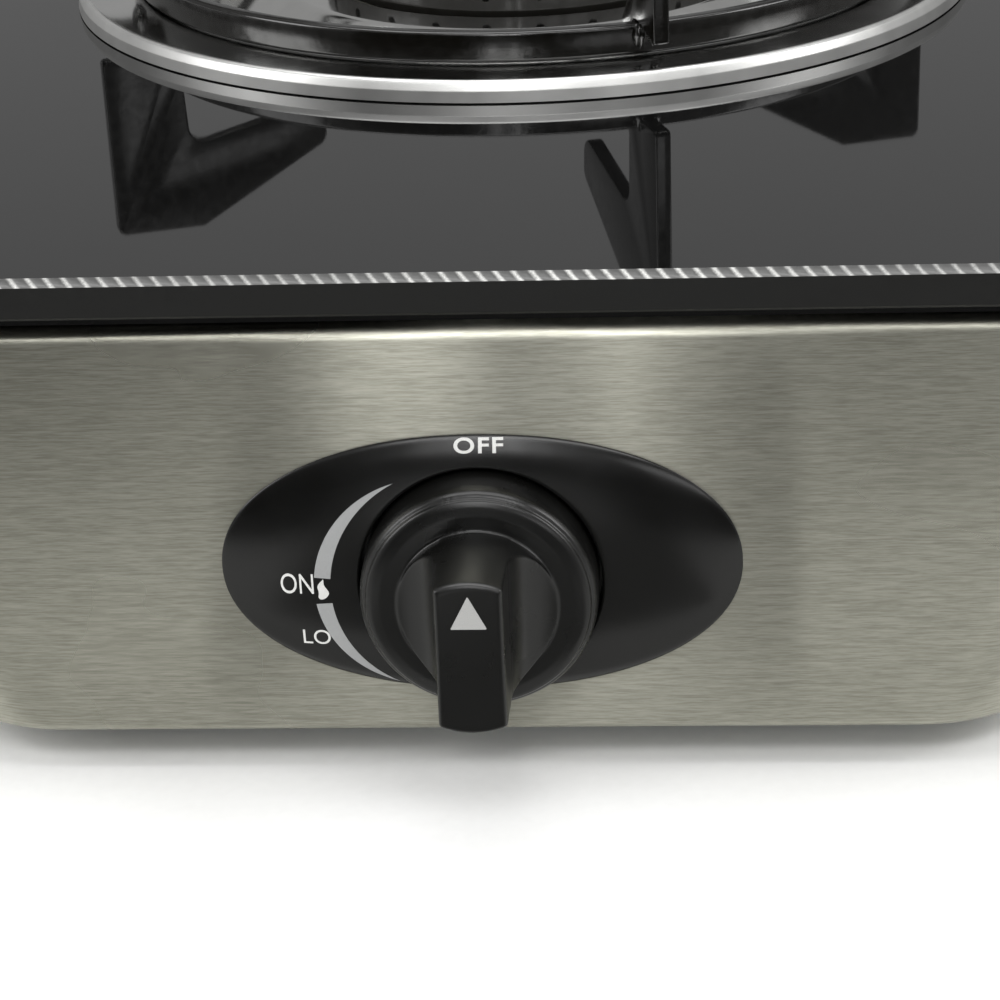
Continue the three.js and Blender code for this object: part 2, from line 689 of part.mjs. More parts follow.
burnerScrewXs.forEach((x, i) => {
  const tip = GLASS_TOP + BOWL_LOW + 4;
  add(`burner_screw_${i + 1}`, screwFromBelow(bridgeTop - STRIP - GAP, tip, x, BURNER_Y), ZINC);
});
[-1, 1].forEach((side, i) => {
  const tip = BASE_TOP + GAP + STRIP + 2.5;
  add(
    `bracket_screw_${i + 1}`,
    screwFromBelow(BASE_LOW - GAP, tip, side * BRACKET_FOOT_X, BURNER_Y),
    ZINC,
  );
});

// ---------------------------------------------------------------- knob and bezel

// A squared-off oval, a * b, centred on (0, z), moved inwards by inset.
function bezelOutline(inset) {
  return Array.from({ length: FINE }, (_, i) => {
    const angle = (2 * Math.PI * i) / FINE;
    const power = 2 / BEZEL_POWER;
    const reach = (value) => Math.sign(value) * Math.abs(value) ** power;
    return new THREE.Vector2(
      (BEZEL_HALF_WIDTH - inset) * reach(Math.cos(angle)),
      BEZEL_Z + (BEZEL_HALF_HEIGHT - inset) * reach(Math.sin(angle)),
    );
  });
}
const bezelDome = loftedForward([
  [GAP, bezelOutline(0)],
  [1.5, bezelOutline(0)],
  [2.6, bezelOutline(0.9)],
  [BEZEL_RISE - 0.4, bezelOutline(3.6)],
  [BEZEL_RISE, bezelOutline(9)],
]);
const bezelCup = rodAlongY(
  RECESS_RADIUS + CUP_WALL,
  PANEL_Y - 1,
  PANEL_Y + CUP_DEPTH,
  ROUND,
  0,
  KNOB_Z,
);
const recess = rodAlongY(
  RECESS_RADIUS,
  PANEL_Y - BEZEL_RISE - CUT,
  PANEL_Y + CUP_DEPTH - CUP_WALL,
  ROUND,
  0,
  KNOB_Z,
);
const stemHole = rodAlongY(5, PANEL_Y - CUT, PANEL_Y + CUP_DEPTH + CUT, SMALL, 0, KNOB_Z);
const bezelBores = [-1, 1].map((side) =>
  rodAlongY(SCREW_HOLE, PANEL_Y - 3, PANEL_Y, TINY, side * BEZEL_SCREW_X, KNOB_Z),
);
add('knob_bezel', cut(join(bezelDome, bezelCup), recess, stemHole, ...bezelBores), BLACK_PLASTIC);

// A slab cut to a circle: the section of the grip bar.
function gripOutline(halfWidth, radius) {
  const reach = Math.asin(halfWidth / radius);
  const steps = 5;
  const end = (turn) =>
    Array.from({ length: steps + 1 }, (_, i) => {
      const angle = turn - reach + (2 * reach * i) / steps;
      return new THREE.Vector2(radius * Math.sin(-angle), KNOB_Z + radius * Math.cos(angle));
    });
  return [...end(0), ...end(Math.PI)];
}
const knobDome = turnedForward(
  [
    [0, KNOB_FRONT - KNOB_WEB],
    [20.2, KNOB_FRONT - KNOB_WEB],
    [20.2, 0],
    [22.2, 0],
    [KNOB_RADIUS, 0.8],
    [KNOB_RADIUS, 8.6],
    [22.6, 10.2],
    [22, 11.6],
    [21.6, 11.5],
    [21.4, 12.4],
    [20.6, 13],
    [19, 13.4],
    [16.5, KNOB_FRONT],
    [BOSS_RADIUS, KNOB_FRONT],
    [BOSS_RADIUS, 24],
    [0, 24],
  ],
  ROUND,
  0,
  PANEL_Y,
  KNOB_Z,
);
const grip = loftedForward([
  [KNOB_FRONT - 1, gripOutline(GRIP_HALF_WIDTH + 0.2, BOSS_RADIUS + 0.1)],
  [KNOB_LENGTH - 0.9, gripOutline(GRIP_HALF_WIDTH - 0.3, GRIP_RADIUS)],
  [KNOB_LENGTH, gripOutline(GRIP_HALF_WIDTH - 1, GRIP_RADIUS - 0.8)],
]);
const scoops = [-1, 1].map((side) =>
  rod(
    SCOOP_RADIUS,
    KNOB_Z - BOSS_RADIUS - CUT,
    KNOB_Z + BOSS_RADIUS + CUT,
    ROUND,
    side * (GRIP_HALF_WIDTH + SCOOP_RADIUS + 0.1),
    PANEL_Y - SCOOP_REACH,
  ),
);
const socket = cut(
  rodAlongY(6.4, PANEL_Y - KNOB_FRONT + 1, PANEL_Y - 0.4, SMALL, 0, KNOB_Z),
  rodAlongY(STEM_RADIUS, PANEL_Y - 10, PANEL_Y + CUT, SMALL, 0, KNOB_Z),
);
const stemSocket = rodAlongY(STEM_RADIUS + GAP, PANEL_Y - 26, PANEL_Y + CUT, SMALL, 0, KNOB_Z);
add('knob', cut(join(cut(knobDome, ...scoops), grip, socket), stemSocket), BLACK_PLASTIC);

// ---------------------------------------------------------------- valve and its stem

const behind = (depth) => PANEL_Y + depth;
const PLUG_DEPTH = 31;
const PLUG_LENGTH = 16;
const stem = rodAlongY(STEM_RADIUS, behind(-25), behind(PLUG_DEPTH - 6), SMALL, 0, KNOB_Z);
const stemTongue = rodAlongY(1.7, behind(PLUG_DEPTH - 7), behind(PLUG_DEPTH + 4), TINY, 0, KNOB_Z);
add('valve_stem', join(stem, stemTongue), ZINC);

// Spiral cam: its rim rises as the knob turns from off to low, and lifts the igniter's plunger.
const CAM_LOW = 7.5;
const CAM_LIFT = 4;
const KNOB_TURN = 150;
const CAM_STEPS = 20;
const camPoints = [];
for (let i = 0; i <= CAM_STEPS; i += 1) {
  const swept = (KNOB_TURN * i) / CAM_STEPS;
  camPoints.push([90 - swept, CAM_LOW + (CAM_LIFT * swept) / KNOB_TURN]);
}
for (let i = 1; i < CAM_STEPS; i += 1) {
  camPoints.push([90 - KNOB_TURN - ((360 - KNOB_TURN) * i) / CAM_STEPS, CAM_LOW]);
}
// Listed clockwise, so reversed for a counterclockwise shape.
const camShape = new THREE.Shape(
  camPoints.toReversed().map(([degrees, reach]) => {
    const angle = THREE.MathUtils.degToRad(degrees);
    return new THREE.Vector2(reach * Math.cos(angle), reach * Math.sin(angle));
  }),
);
camShape.holes.push(new THREE.Path().absarc(0, 0, STEM_RADIUS + GAP, 0, 2 * Math.PI, true));
add(
  'igniter_cam',
  solid(
    new THREE.ExtrudeGeometry(camShape, { depth: CAM_THICKNESS, bevelEnabled: false })
      .rotateX(Math.PI / 2)
      .translate(0, behind(CAM_DEPTH + CAM_THICKNESS), KNOB_Z),
  ),
  WHITE_PLASTIC,
);

// Valve bracket: a hat of strip between the front panel and the valve's flange, with a tab up
// the igniter's back.
const HAT_HALF = 24;
const HAT_FLANGE = 40;
const HAT_HALF_HEIGHT = 11;
const hatShape = new THREE.Shape();
hatShape.moveTo(-HAT_FLANGE, behind(CUP_DEPTH + GAP + STRIP));
hatShape.lineTo(-HAT_FLANGE, behind(SHEET + 2 * GAP));
hatShape.lineTo(-HAT_HALF - 3, behind(SHEET + 2 * GAP));
hatShape.lineTo(-HAT_HALF - 3, behind(CUP_DEPTH + GAP));
hatShape.lineTo(-HAT_HALF + STRIP, behind(CUP_DEPTH + GAP));
hatShape.lineTo(-HAT_HALF + STRIP, behind(BRACKET_DEPTH - STRIP));
hatShape.lineTo(HAT_HALF - STRIP, behind(BRACKET_DEPTH - STRIP));
hatShape.lineTo(HAT_HALF - STRIP, behind(CUP_DEPTH + GAP));
hatShape.lineTo(HAT_HALF + 3, behind(CUP_DEPTH + GAP));
hatShape.lineTo(HAT_HALF + 3, behind(SHEET + 2 * GAP));
hatShape.lineTo(HAT_FLANGE, behind(SHEET + 2 * GAP));
hatShape.lineTo(HAT_FLANGE, behind(CUP_DEPTH + GAP + STRIP));
hatShape.lineTo(HAT_HALF, behind(CUP_DEPTH + GAP + STRIP));
hatShape.lineTo(HAT_HALF, behind(BRACKET_DEPTH));
hatShape.lineTo(-HAT_HALF, behind(BRACKET_DEPTH));
hatShape.lineTo(-HAT_HALF, behind(CUP_DEPTH + GAP + STRIP));
const hat = solid(
  new THREE.ExtrudeGeometry(hatShape, { depth: 2 * HAT_HALF_HEIGHT, bevelEnabled: false })
    .translate(0, 0, KNOB_Z - HAT_HALF_HEIGHT),
);
const igniterTab = block(
  [-9, behind(BRACKET_DEPTH - STRIP), KNOB_Z + HAT_HALF_HEIGHT - CUT],
  [9, behind(BRACKET_DEPTH), IGNITER_HIGH - 3],
);
const VALVE_SCREW_X = 15;
const hatHoles = [
  rodAlongY(9, behind(BRACKET_DEPTH - 4), behind(BRACKET_DEPTH + CUT), SMALL, 0, KNOB_Z),
  ...[-1, 1].flatMap((side) => [
    rodAlongY(SCREW_HOLE, behind(0), behind(9), TINY, side * BEZEL_SCREW_X, KNOB_Z),
    rodAlongY(SCREW_HOLE, behind(12), behind(17), TINY, side * VALVE_SCREW_X, KNOB_Z),
  ]),
];
add('valve_bracket', cut(join(hat, igniterTab), ...hatHoles), GALVANISED);

// A pan-head screw lying along Y; its tip points to the back if forward is 1, to the front if -1.
function screwAlongY(x, headDepth, length, forward) {
  const head = rodAlongY(
    3,
    behind(Math.min(headDepth, headDepth - 1.6 * forward)),
    behind(Math.max(headDepth, headDepth - 1.6 * forward)),
    TINY,
    x,
    KNOB_Z,
  );
  const start = headDepth - 0.5 * forward;
  const end = headDepth + length * forward;
  const shank = rodAlongY(
    SCREW_RADIUS,
    behind(Math.min(start, end)),
    behind(Math.max(start, end)),
    TINY,
    x,
    KNOB_Z,
  );
  return join(head, shank);
}
[-1, 1].forEach((side, i) => {
  const fromInside = screwAlongY(side * BEZEL_SCREW_X, CUP_DEPTH + 2 * GAP + STRIP, 8, -1);
  add(`bezel_screw_${i + 1}`, fromInside, ZINC);
  const intoValve = screwAlongY(side * VALVE_SCREW_X, BRACKET_DEPTH - STRIP - GAP, 4, 1);
  add(`valve_screw_${i + 1}`, intoValve, ZINC);
});

// Valve body: flange, barrel, rear block and the inlet branch on its right.
const BARREL_RADIUS = 12;
const BRANCH_DEPTH = 38;
const BRANCH_END = 24;
const valveBody = join(
  block(
    [-19, behind(VALVE_DEPTH), KNOB_Z - 9],
    [19, behind(VALVE_DEPTH + VALVE_FLANGE), KNOB_Z + 9],
  ),
  rodAlongY(BARREL_RADIUS, behind(VALVE_DEPTH + 1), behind(50), SMALL, 0, KNOB_Z),
  block([-8, behind(46), KNOB_Z - 8], [8, behind(VALVE_BACK_DEPTH), KNOB_Z + 12]),
  rodAlongX(6.5, 4, BRANCH_END, SMALL, behind(BRANCH_DEPTH), KNOB_Z),
);
const plugBore = turnedForward(
  [
    [0, -(PLUG_DEPTH + PLUG_LENGTH + 1)],
    [6 + GAP, -(PLUG_DEPTH + PLUG_LENGTH + 1)],
    [7.4 + GAP, -(PLUG_DEPTH - GAP)],
    [8.6, -(PLUG_DEPTH - GAP)],
    [8.6, 0],
    [0, 0],
  ],
  SMALL,
  0,
  PANEL_Y,
  KNOB_Z,
);
const valvePassages = [
  rodAlongX(3, 0, BRANCH_END + CUT, TINY, behind(BRANCH_DEPTH), KNOB_Z),
  rodAlongY(1.6, behind(46), behind(56), TINY, 0, KNOB_Z),
  rodAlongY(3.4, behind(52), behind(VALVE_BACK_DEPTH + CUT), TINY, 0, TUBE_Z),
  ...[-1, 1].map((side) =>
    rodAlongY(SCREW_HOLE, behind(14), behind(20), TINY, side * VALVE_SCREW_X, KNOB_Z),
  ),
];
add('valve_body', cut(valveBody, plugBore, ...valvePassages), CAST);

const plug = cut(
  turnedForward(
    [
      [0, -(PLUG_DEPTH + PLUG_LENGTH)],
      [6, -(PLUG_DEPTH + PLUG_LENGTH)],
      [7.4, -PLUG_DEPTH],
      [0, -PLUG_DEPTH],
    ],
    SMALL,
    0,
    PANEL_Y,
    KNOB_Z,
  ),
  rodAlongY(2.1, behind(PLUG_DEPTH - CUT), behind(PLUG_DEPTH + 9), TINY, 0, KNOB_Z),
  rodAlongX(1.6, -9, 9, TINY, behind(PLUG_DEPTH + 12), KNOB_Z),
);
add('valve_plug', plug, BRASS);

// Collar that the stem pushes back against the return spring.
const COLLAR_DEPTH = 17;
const collar = cut(
  rodAlongY(7.8, behind(COLLAR_DEPTH), behind(COLLAR_DEPTH + 2), SMALL, 0, KNOB_Z),
  rodAlongY(STEM_RADIUS + GAP, behind(COLLAR_DEPTH - 1), behind(COLLAR_DEPTH + 3), SMALL, 0, KNOB_Z),
);
add('stem_collar', collar, ZINC);

class Helix extends THREE.Curve {
  constructor(radius, turns, front, back) {
    super();
    Object.assign(this, { radius, turns, front, back });
  }

  getPoint(t, target = new THREE.Vector3()) {
    const angle = 2 * Math.PI * this.turns * t;
    return target.set(
      this.radius * Math.cos(angle),
      THREE.MathUtils.lerp(this.front, this.back, t),
      KNOB_Z + this.radius * Math.sin(angle),
    );
  }
}
const SPRING_WIRE = 0.6;
const springFront = behind(COLLAR_DEPTH + 2 + SPRING_WIRE + 2 * GAP);
const springBack = behind(PLUG_DEPTH - SPRING_WIRE - 2 * GAP);
const spring = new Helix(5.6, 5, springFront, springBack);
add('stem_spring', tube(spring, SPRING_WIRE, 0, 2, 48), SPRING_STEEL);

const injector = cut(
  join(
    rodAlongY(3.1, behind(54), behind(VALVE_BACK_DEPTH + 1), TINY, 0, TUBE_Z),
    rodAlongY(5, behind(VALVE_BACK_DEPTH + GAP), behind(VALVE_BACK_DEPTH + 5), 6, 0, TUBE_Z),
    rodAlongY(3.2, behind(VALVE_BACK_DEPTH + 4), behind(VALVE_BACK_DEPTH + 11), TINY, 0, TUBE_Z),
  ),
  rodAlongY(0.8, behind(50), behind(VALVE_BACK_DEPTH + 12), 8, 0, TUBE_Z),
);
add('injector', injector, BRASS);

// ---------------------------------------------------------------- ignition

const IGNITER_HALF = 7;
const PLUNGER_RADIUS = 2.6;
const igniterFront = behind(CUP_DEPTH + GAP);
const igniterBack = behind(BRACKET_DEPTH - STRIP - GAP);
const igniterMiddle = behind(CAM_DEPTH + CAM_THICKNESS - 0.5);
const igniterBody = join(
  block([-IGNITER_HALF, igniterFront, IGNITER_LOW + 4], [IGNITER_HALF, igniterBack, IGNITER_HIGH]),
  rod(3.7, IGNITER_LOW, IGNITER_LOW + 6, SMALL, 0, igniterMiddle),
);
const plungerBore = rod(
  PLUNGER_RADIUS + GAP,
  IGNITER_LOW - CUT,
  IGNITER_LOW + 18,
  TINY,
  0,
  igniterMiddle,
);
add('igniter_body', cut(igniterBody, plungerBore), WHITE_PLASTIC);
const plungerLow = KNOB_Z + CAM_LOW + GAP;
add(
  'igniter_plunger',
  rod(PLUNGER_RADIUS, plungerLow, IGNITER_LOW + 12, TINY, 0, igniterMiddle),
  BRASS,
);

// Electrode beside the burner, held by a small plate on the bowl.
const INSULATOR_LOW = GLASS_TOP - 30;
const INSULATOR_HIGH = GLASS_TOP + 7;
const insulator = cut(
  turned(
    [
      [0, INSULATOR_LOW],
      [2.6, INSULATOR_LOW],
      [3.3, INSULATOR_LOW + 12],
      [3.3, INSULATOR_LOW + 26],
      [2.3, INSULATOR_LOW + 28],
      [2.3, INSULATOR_HIGH],
      [0, INSULATOR_HIGH],
    ],
    TINY,
    ELECTRODE_X,
    ELECTRODE_Y,
  ),
  rod(1.1, INSULATOR_LOW - CUT, INSULATOR_HIGH + CUT, 8, ELECTRODE_X, ELECTRODE_Y),
);
add('electrode_insulator', insulator, CERAMIC);
add(
  'electrode_pin',
  rod(0.8, INSULATOR_LOW - 4, INSULATOR_HIGH + 5, 8, ELECTRODE_X, ELECTRODE_Y),
  SPRING_STEEL,
);
const ELECTRODE_BRACKET_Z = GLASS_TOP - 8;
const electrodePlate = new THREE.BoxGeometry(15, 10, 1.2).translate(ELECTRODE_RADIUS - 2, 0, 0);
electrodePlate.rotateZ(electrodeAngle).translate(0, BURNER_Y, ELECTRODE_BRACKET_Z);
add(
  'electrode_bracket',
  cut(
    solid(electrodePlate),
    rod(3.3 + GAP, ELECTRODE_BRACKET_Z - 4, ELECTRODE_BRACKET_Z + 4, TINY, ELECTRODE_X, ELECTRODE_Y),
    rod(46.5 + GAP, ELECTRODE_BRACKET_Z - 4, ELECTRODE_BRACKET_Z + 4, ROUND, 0, BURNER_Y),
  ),
  GALVANISED,
);

const leadPath = new THREE.CatmullRomCurve3(
  [
    [-IGNITER_HALF - GAP, igniterMiddle, IGNITER_HIGH - 8],
    [-IGNITER_HALF - 4, igniterMiddle, IGNITER_HIGH - 8],
    [-18, behind(16), IGNITER_HIGH - 10],
    [-30, behind(34), 72],
    [-58, behind(80), 45],
    [-76, BURNER_Y - 60, 34],
    [-76, BURNER_Y, 32],
    [-60, BURNER_Y + 46, 38],
    [ELECTRODE_X - 8, ELECTRODE_Y + 6, 52],
    [ELECTRODE_X - 1, ELECTRODE_Y + 1, INSULATOR_LOW - 12],
    [ELECTRODE_X, ELECTRODE_Y, INSULATOR_LOW - 4 - GAP],
  ].map((spot) => new THREE.Vector3(...spot)),
);
add('ignition_lead', tube(leadPath, 1.4, 0, 3, 40), RED_SILICONE);

// ---------------------------------------------------------------- gas inlet

// Rear wall where the nozzle passes through it.
const wallY = BACK_Y - BACK_TAPER * (1 - (INLET_Z - BODY_BOTTOM) / BODY_HEIGHT);
const nozzle = (profile) =>
  solid(
    new THREE.LatheGeometry(
      [...profile, profile[0]].map(([radius, height]) => new THREE.Vector2(radius, height)),
      SMALL,
    ).translate(INLET_X, wallY, INLET_Z),
  );
const WALL_LEAN = 0.9; // clears the leaning rear wall
const nozzleEnd = BACK_Y + NOZZLE_LENGTH - wallY;
add(
  'hose_nozzle',
  nozzle([
    [2.6, -16],
    [5.8, -16],
    [5.8, WALL_LEAN],
    [8.4, WALL_LEAN],
    [8.4, 5],
    [5, 6],
    [5, nozzleEnd - 18],
    [5.7, nozzleEnd - 16],
    [4.8, nozzleEnd - 11],
    [5.6, nozzleEnd - 9],
    [4.7, nozzleEnd - 3],
    [4, nozzleEnd],
    [2.6, nozzleEnd],
  ]),
  BRASS,
);
const nutLow = wallY - SHEET - 1.2;
const lockNut = cut(
  solid(new THREE.CylinderGeometry(9, 9, 4.5, 6).translate(INLET_X, nutLow - 2.25, INLET_Z)),
  rodAlongY(5.8 + GAP, nutLow - 8, nutLow + CUT, SMALL, INLET_X, INLET_Z),
);
add('inlet_lock_nut', lockNut, BRASS);

const pipeStart = wallY - 16 - GAP;
const pipePath = new THREE.CatmullRomCurve3(
  [
    [INLET_X, pipeStart, INLET_Z],
    [INLET_X, pipeStart - 16, INLET_Z],
    [INLET_X + 2, BURNER_Y + 60, 36],
    [INLET_X + 4, BURNER_Y, 34],
    [INLET_X + 2, BURNER_Y - 80, 36],
    [INLET_X - 6, behind(BRANCH_DEPTH + 30), KNOB_Z - 1],
    [INLET_X - 22, behind(BRANCH_DEPTH + 3), KNOB_Z],
    [BRANCH_END + 12, behind(BRANCH_DEPTH), KNOB_Z],
    [BRANCH_END + GAP, behind(BRANCH_DEPTH), KNOB_Z],
  ].map((spot) => new THREE.Vector3(...spot)),
);
add('inlet_pipe', tube(pipePath, 4, 2.6, 4, 26), ZINC);
const unionNut = cut(
  solid(
    new THREE.CylinderGeometry(7, 7, 9, 6)
      .rotateZ(Math.PI / 2)
      .translate(BRANCH_END + 6, behind(BRANCH_DEPTH), KNOB_Z),
  ),
  rodAlongX(4 + GAP + 0.2, BRANCH_END - 2, BRANCH_END + 14, TINY, behind(BRANCH_DEPTH), KNOB_Z),
);
add('union_nut', unionNut, BRASS);

export default stove;
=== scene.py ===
import json
import math

import bmesh
import bpy
import numpy as np
from mathutils import Matrix, Vector
from mathutils.geometry import tessellate_polygon


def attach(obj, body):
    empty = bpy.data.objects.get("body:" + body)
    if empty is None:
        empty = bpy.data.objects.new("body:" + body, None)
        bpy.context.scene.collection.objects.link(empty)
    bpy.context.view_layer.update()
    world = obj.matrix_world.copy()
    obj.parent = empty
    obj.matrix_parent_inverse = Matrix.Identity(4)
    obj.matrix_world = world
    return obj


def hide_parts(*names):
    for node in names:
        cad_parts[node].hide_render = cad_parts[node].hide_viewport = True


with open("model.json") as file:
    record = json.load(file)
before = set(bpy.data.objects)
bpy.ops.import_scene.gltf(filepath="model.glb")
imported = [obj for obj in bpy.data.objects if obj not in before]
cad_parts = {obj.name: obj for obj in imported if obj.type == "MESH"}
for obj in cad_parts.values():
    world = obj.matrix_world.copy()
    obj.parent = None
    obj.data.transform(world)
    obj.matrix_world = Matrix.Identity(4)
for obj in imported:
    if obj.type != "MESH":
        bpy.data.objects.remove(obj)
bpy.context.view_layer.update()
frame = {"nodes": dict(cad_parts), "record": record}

# ------------------------------------------------------------------ sizes, in millimetres

MM = 0.001
GAP = 0.3
GLASS_TOP = 104.8
GLASS_BOTTOM = 96.7
GLASS_HALF = 145.0
GLASS_FRONT = -195.4
GLASS_BACK = 204.6
GLASS_MIDDLE_Y = (GLASS_FRONT + GLASS_BACK) / 2
GLASS_HALF_LENGTH = (GLASS_BACK - GLASS_FRONT) / 2
GLASS_CORNER = 18.0
GLASS_HOLE = 93.0
FLUTE_PITCH = 3.35
FLUTE_WIDTH = 1.45
FLUTE_DEPTH = 0.42
BURNER_Y = 21.1
PANEL_Y = -192.4
BACK_Y = 198.6
BODY_BOTTOM = 8.0
BODY_HEIGHT = 85.0
BODY_TOP = BODY_BOTTOM + BODY_HEIGHT
BODY_TOP_HALF = 137.0
BODY_BOTTOM_HALF = 114.5
BODY_TOP_CORNER = 14.0
BODY_BOTTOM_CORNER = 30.0
BACK_TAPER = 5.0
SHEET = 0.8
LIP = 12.0
BASE_LOW = BODY_BOTTOM + SHEET + GAP
BASE_TOP = BASE_LOW + 1.0
FEET = ((-84, PANEL_Y + 34), (84, PANEL_Y + 34), (-84, BACK_Y - 39), (84, BACK_Y - 39))
BASE_SCREWS = ((0, PANEL_Y + 6.5), (0, BACK_Y - 11.5), (-108, BURNER_Y - 20), (108, BURNER_Y - 20))
VENTS = 8
VENT_PITCH = 11
VENT_MIDDLE = -20
VENT_LOW = 34
VENT_HIGH = 62
VENT_HALF_WIDTH = 1.5
KNOB_Z = GLASS_TOP - 62.6
BEZEL_Z = GLASS_TOP - 60.0
BEZEL_HALF_WIDTH = 50.2
BEZEL_HALF_HEIGHT = 27.0
BEZEL_POWER = 2.1
BEZEL_EDGE = 0.5
BEZEL_RISE = 4.1
RECESS_RADIUS = 23.4
RECESS_LIP = 0.5
RECESS_FLOOR = -3.3
BEZEL_BACK = -4.2
KNOB_RADIUS = 22.8
KNOB_LENGTH = 36.2
GRIP_HALF_WIDTH = 6.6
GRIP_RADIUS = 15.4
BOSS_RADIUS = 15.3
KNOB_FRONT = 13.6
KNOB_WEB = 2.4
SKIRT_INNER = 20.2
BOSS_END = 24.0
SCOOP_RADIUS = 11.0
SCOOP_REACH = KNOB_FRONT + SCOOP_RADIUS + 0.1
BLADE_TURN = 19.2
BLADE_THICKNESS = 3.6
BLADES = 4
BLADE_LOW = 5.1
BLADE_OUTER_LOW = 9.6
RING_OUTER = 96.0
RING_INNER = 92.6
RING_LOW = 5.1
RING_HIGH = 12.0
BLADE_HEIGHT = 54.2
WELD_HEIGHT = 9.4
WELD_HALF_LENGTH = 2.6
PAN_RADIUS = 110
PAN_LEDGE = 4.8
PAN_SHEET = 0.8
SPARK_HOLE_TURN = 118
SPARK_HOLE_REACH = 55.5
SPARK_HOLE_RADIUS = 4.2
PORTS = 24
INLET_X = 66.0
INLET_Z = 40.0
NOZZLE_END = 228.6
PRINT_LIFT = 0.05
PRINT_ROW = 0.45
WELD_DISTANCE = 2e-6


# ------------------------------------------------------------------ building surfaces

def added(name, data):
    """A new object in the scene."""
    thing = bpy.data.objects.new(name, data)
    bpy.context.scene.collection.objects.link(thing)
    return thing


def weld(mesh):
    """Merge doubled points and turn every face outward."""
    shape = bmesh.new()
    shape.from_mesh(mesh)
    bmesh.ops.remove_doubles(shape, verts=shape.verts, dist=WELD_DISTANCE)
    bmesh.ops.recalc_face_normals(shape, faces=shape.faces)
    shape.to_mesh(mesh)
    shape.free()


def shown(name, mesh, slot, body, replaced=(), sharp=32.0):
    """A finished piece: welded, facing out, smooth except at edges sharper than the given angle."""
    weld(mesh)
    mesh.shade_smooth()
    mesh.set_sharp_from_angle(angle=math.radians(sharp))
    piece = added(name, mesh)
    piece.data.materials.clear()
    piece.data.materials.append(FINISHES[slot])
    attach(piece, body)
    if replaced:
        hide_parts(*replaced)
    return piece


def raw_mesh(points, faces):
    mesh = bpy.data.meshes.new("surface")
    mesh.from_pydata((np.asarray(points, float) * MM).tolist(), [], faces)
    mesh.validate()
    return mesh


def grid_mesh(points, close_rows=True):
    """Quads over a grid of points, each row a loop; the last row joins the first if asked."""
    rows, columns = points.shape[:2]
    faces = []
    for i in range(rows if close_rows else rows - 1):
        for j in range(columns):
            k, m = (i + 1) % rows, (j + 1) % columns
            faces.append((i * columns + j, k * columns + j, k * columns + m, i * columns + m))
    return raw_mesh(points.reshape(-1, 3), faces)


def rounded(corners, radius=0.0, steps=5, closed=True):
    """A polyline with its corners turned into arcs; a corner may carry its own radius."""
    spots = np.array([c[:2] for c in corners], float)
    count = len(spots)
    path = []
    for i, corner in enumerate(corners):
        here = spots[i]
        size = corner[2] if len(corner) > 2 else radius
        if size <= 0 or (not closed and i in (0, count - 1)):
            path.append(here)
            continue
        back, ahead = spots[i - 1] - here, spots[(i + 1) % count] - here
        back_length, ahead_length = np.linalg.norm(back), np.linalg.norm(ahead)
        back, ahead = back / back_length, ahead / ahead_length
        half = math.acos(float(np.clip(back @ ahead, -1, 1))) / 2
        nearly_straight = half > 1.54
        if nearly_straight:
            path.append(here)
            continue
        run = min(size / math.tan(half), 0.48 * back_length, 0.48 * ahead_length)
        bend = run * math.tan(half)
        middle = (back + ahead) / np.linalg.norm(back + ahead)
        centre = here + middle * bend / math.sin(half)
        first, last = here + back * run - centre, here + ahead * run - centre
        start = math.atan2(first[1], first[0])
        turn = (math.atan2(last[1], last[0]) - start + math.pi) % (2 * math.pi) - math.pi
        for k in range(steps + 1):
            angle = start + turn * k / steps
            path.append(centre + bend * np.array([math.cos(angle), math.sin(angle)]))
    return np.array(path)


def turned_mesh(profile, sides=128, centre=(0, 0, 0), forward=False, closed=True):
    """A profile of (radius, height) turned about +Z, or about -Y if forward."""
    angles = 2 * math.pi * np.arange(sides) / sides
    radius, height = np.asarray(profile, float)[:, :2].T
    across = np.outer(radius, np.cos(angles))
    along = np.outer(radius, np.sin(angles))
    rise = np.repeat(height[:, None], sides, 1)
    spots = (across, -rise, along) if forward else (across, along, rise)
    return grid_mesh(np.stack(spots, 2) + np.array(centre, float), close_rows=closed)


def prism_mesh(outline, low, high, place):
    """A flat outline given a thickness; place turns (x, y, thickness) into a point."""
    count = len(outline)
    points = [place(x, y, low) for x, y in outline] + [place(x, y, high) for x, y in outline]
    faces = [tuple(reversed(range(count))), tuple(range(count, 2 * count))]
    faces += [(i, (i + 1) % count, count + (i + 1) % count, count + i) for i in range(count)]
    return raw_mesh(points, faces)


def box_mesh(low, high):
    outline = [(low[0], low[1]), (high[0], low[1]), (high[0], high[1]), (low[0], high[1])]
    return prism_mesh(outline, low[2], high[2], lambda x, y, t: (x, y, t))


def rod_mesh(radius, low, high, sides, x, z):
    """A rod along Y."""
    return turned_mesh([(0, -low), (radius, -low), (radius, -high), (0, -high)], sides,
                       (x, 0, z), forward=True, closed=False)


def worked(mesh, *modifiers):
    """The mesh after the given modifiers, each a (kind, settings) pair."""
    holder = added("holder", mesh)
    for kind, settings in modifiers:
        modifier = holder.modifiers.new(kind, kind)
        for key, value in settings.items():
            setattr(modifier, key, value)
    graph = bpy.context.evaluated_depsgraph_get()
    result = bpy.data.meshes.new_from_object(holder.evaluated_get(graph))
    bpy.data.objects.remove(holder)
    return result


def combined(mesh, tools, operation):
    """The mesh cut by, or joined to, each tool in turn."""
    for tool in tools:
        weld(mesh)
        weld(tool)
        cutter = added("cutter", tool)
        settings = {"operation": operation, "object": cutter, "solver": "EXACT"}
        mesh = worked(mesh, ("BOOLEAN", settings))
        bpy.data.objects.remove(cutter)
    return mesh


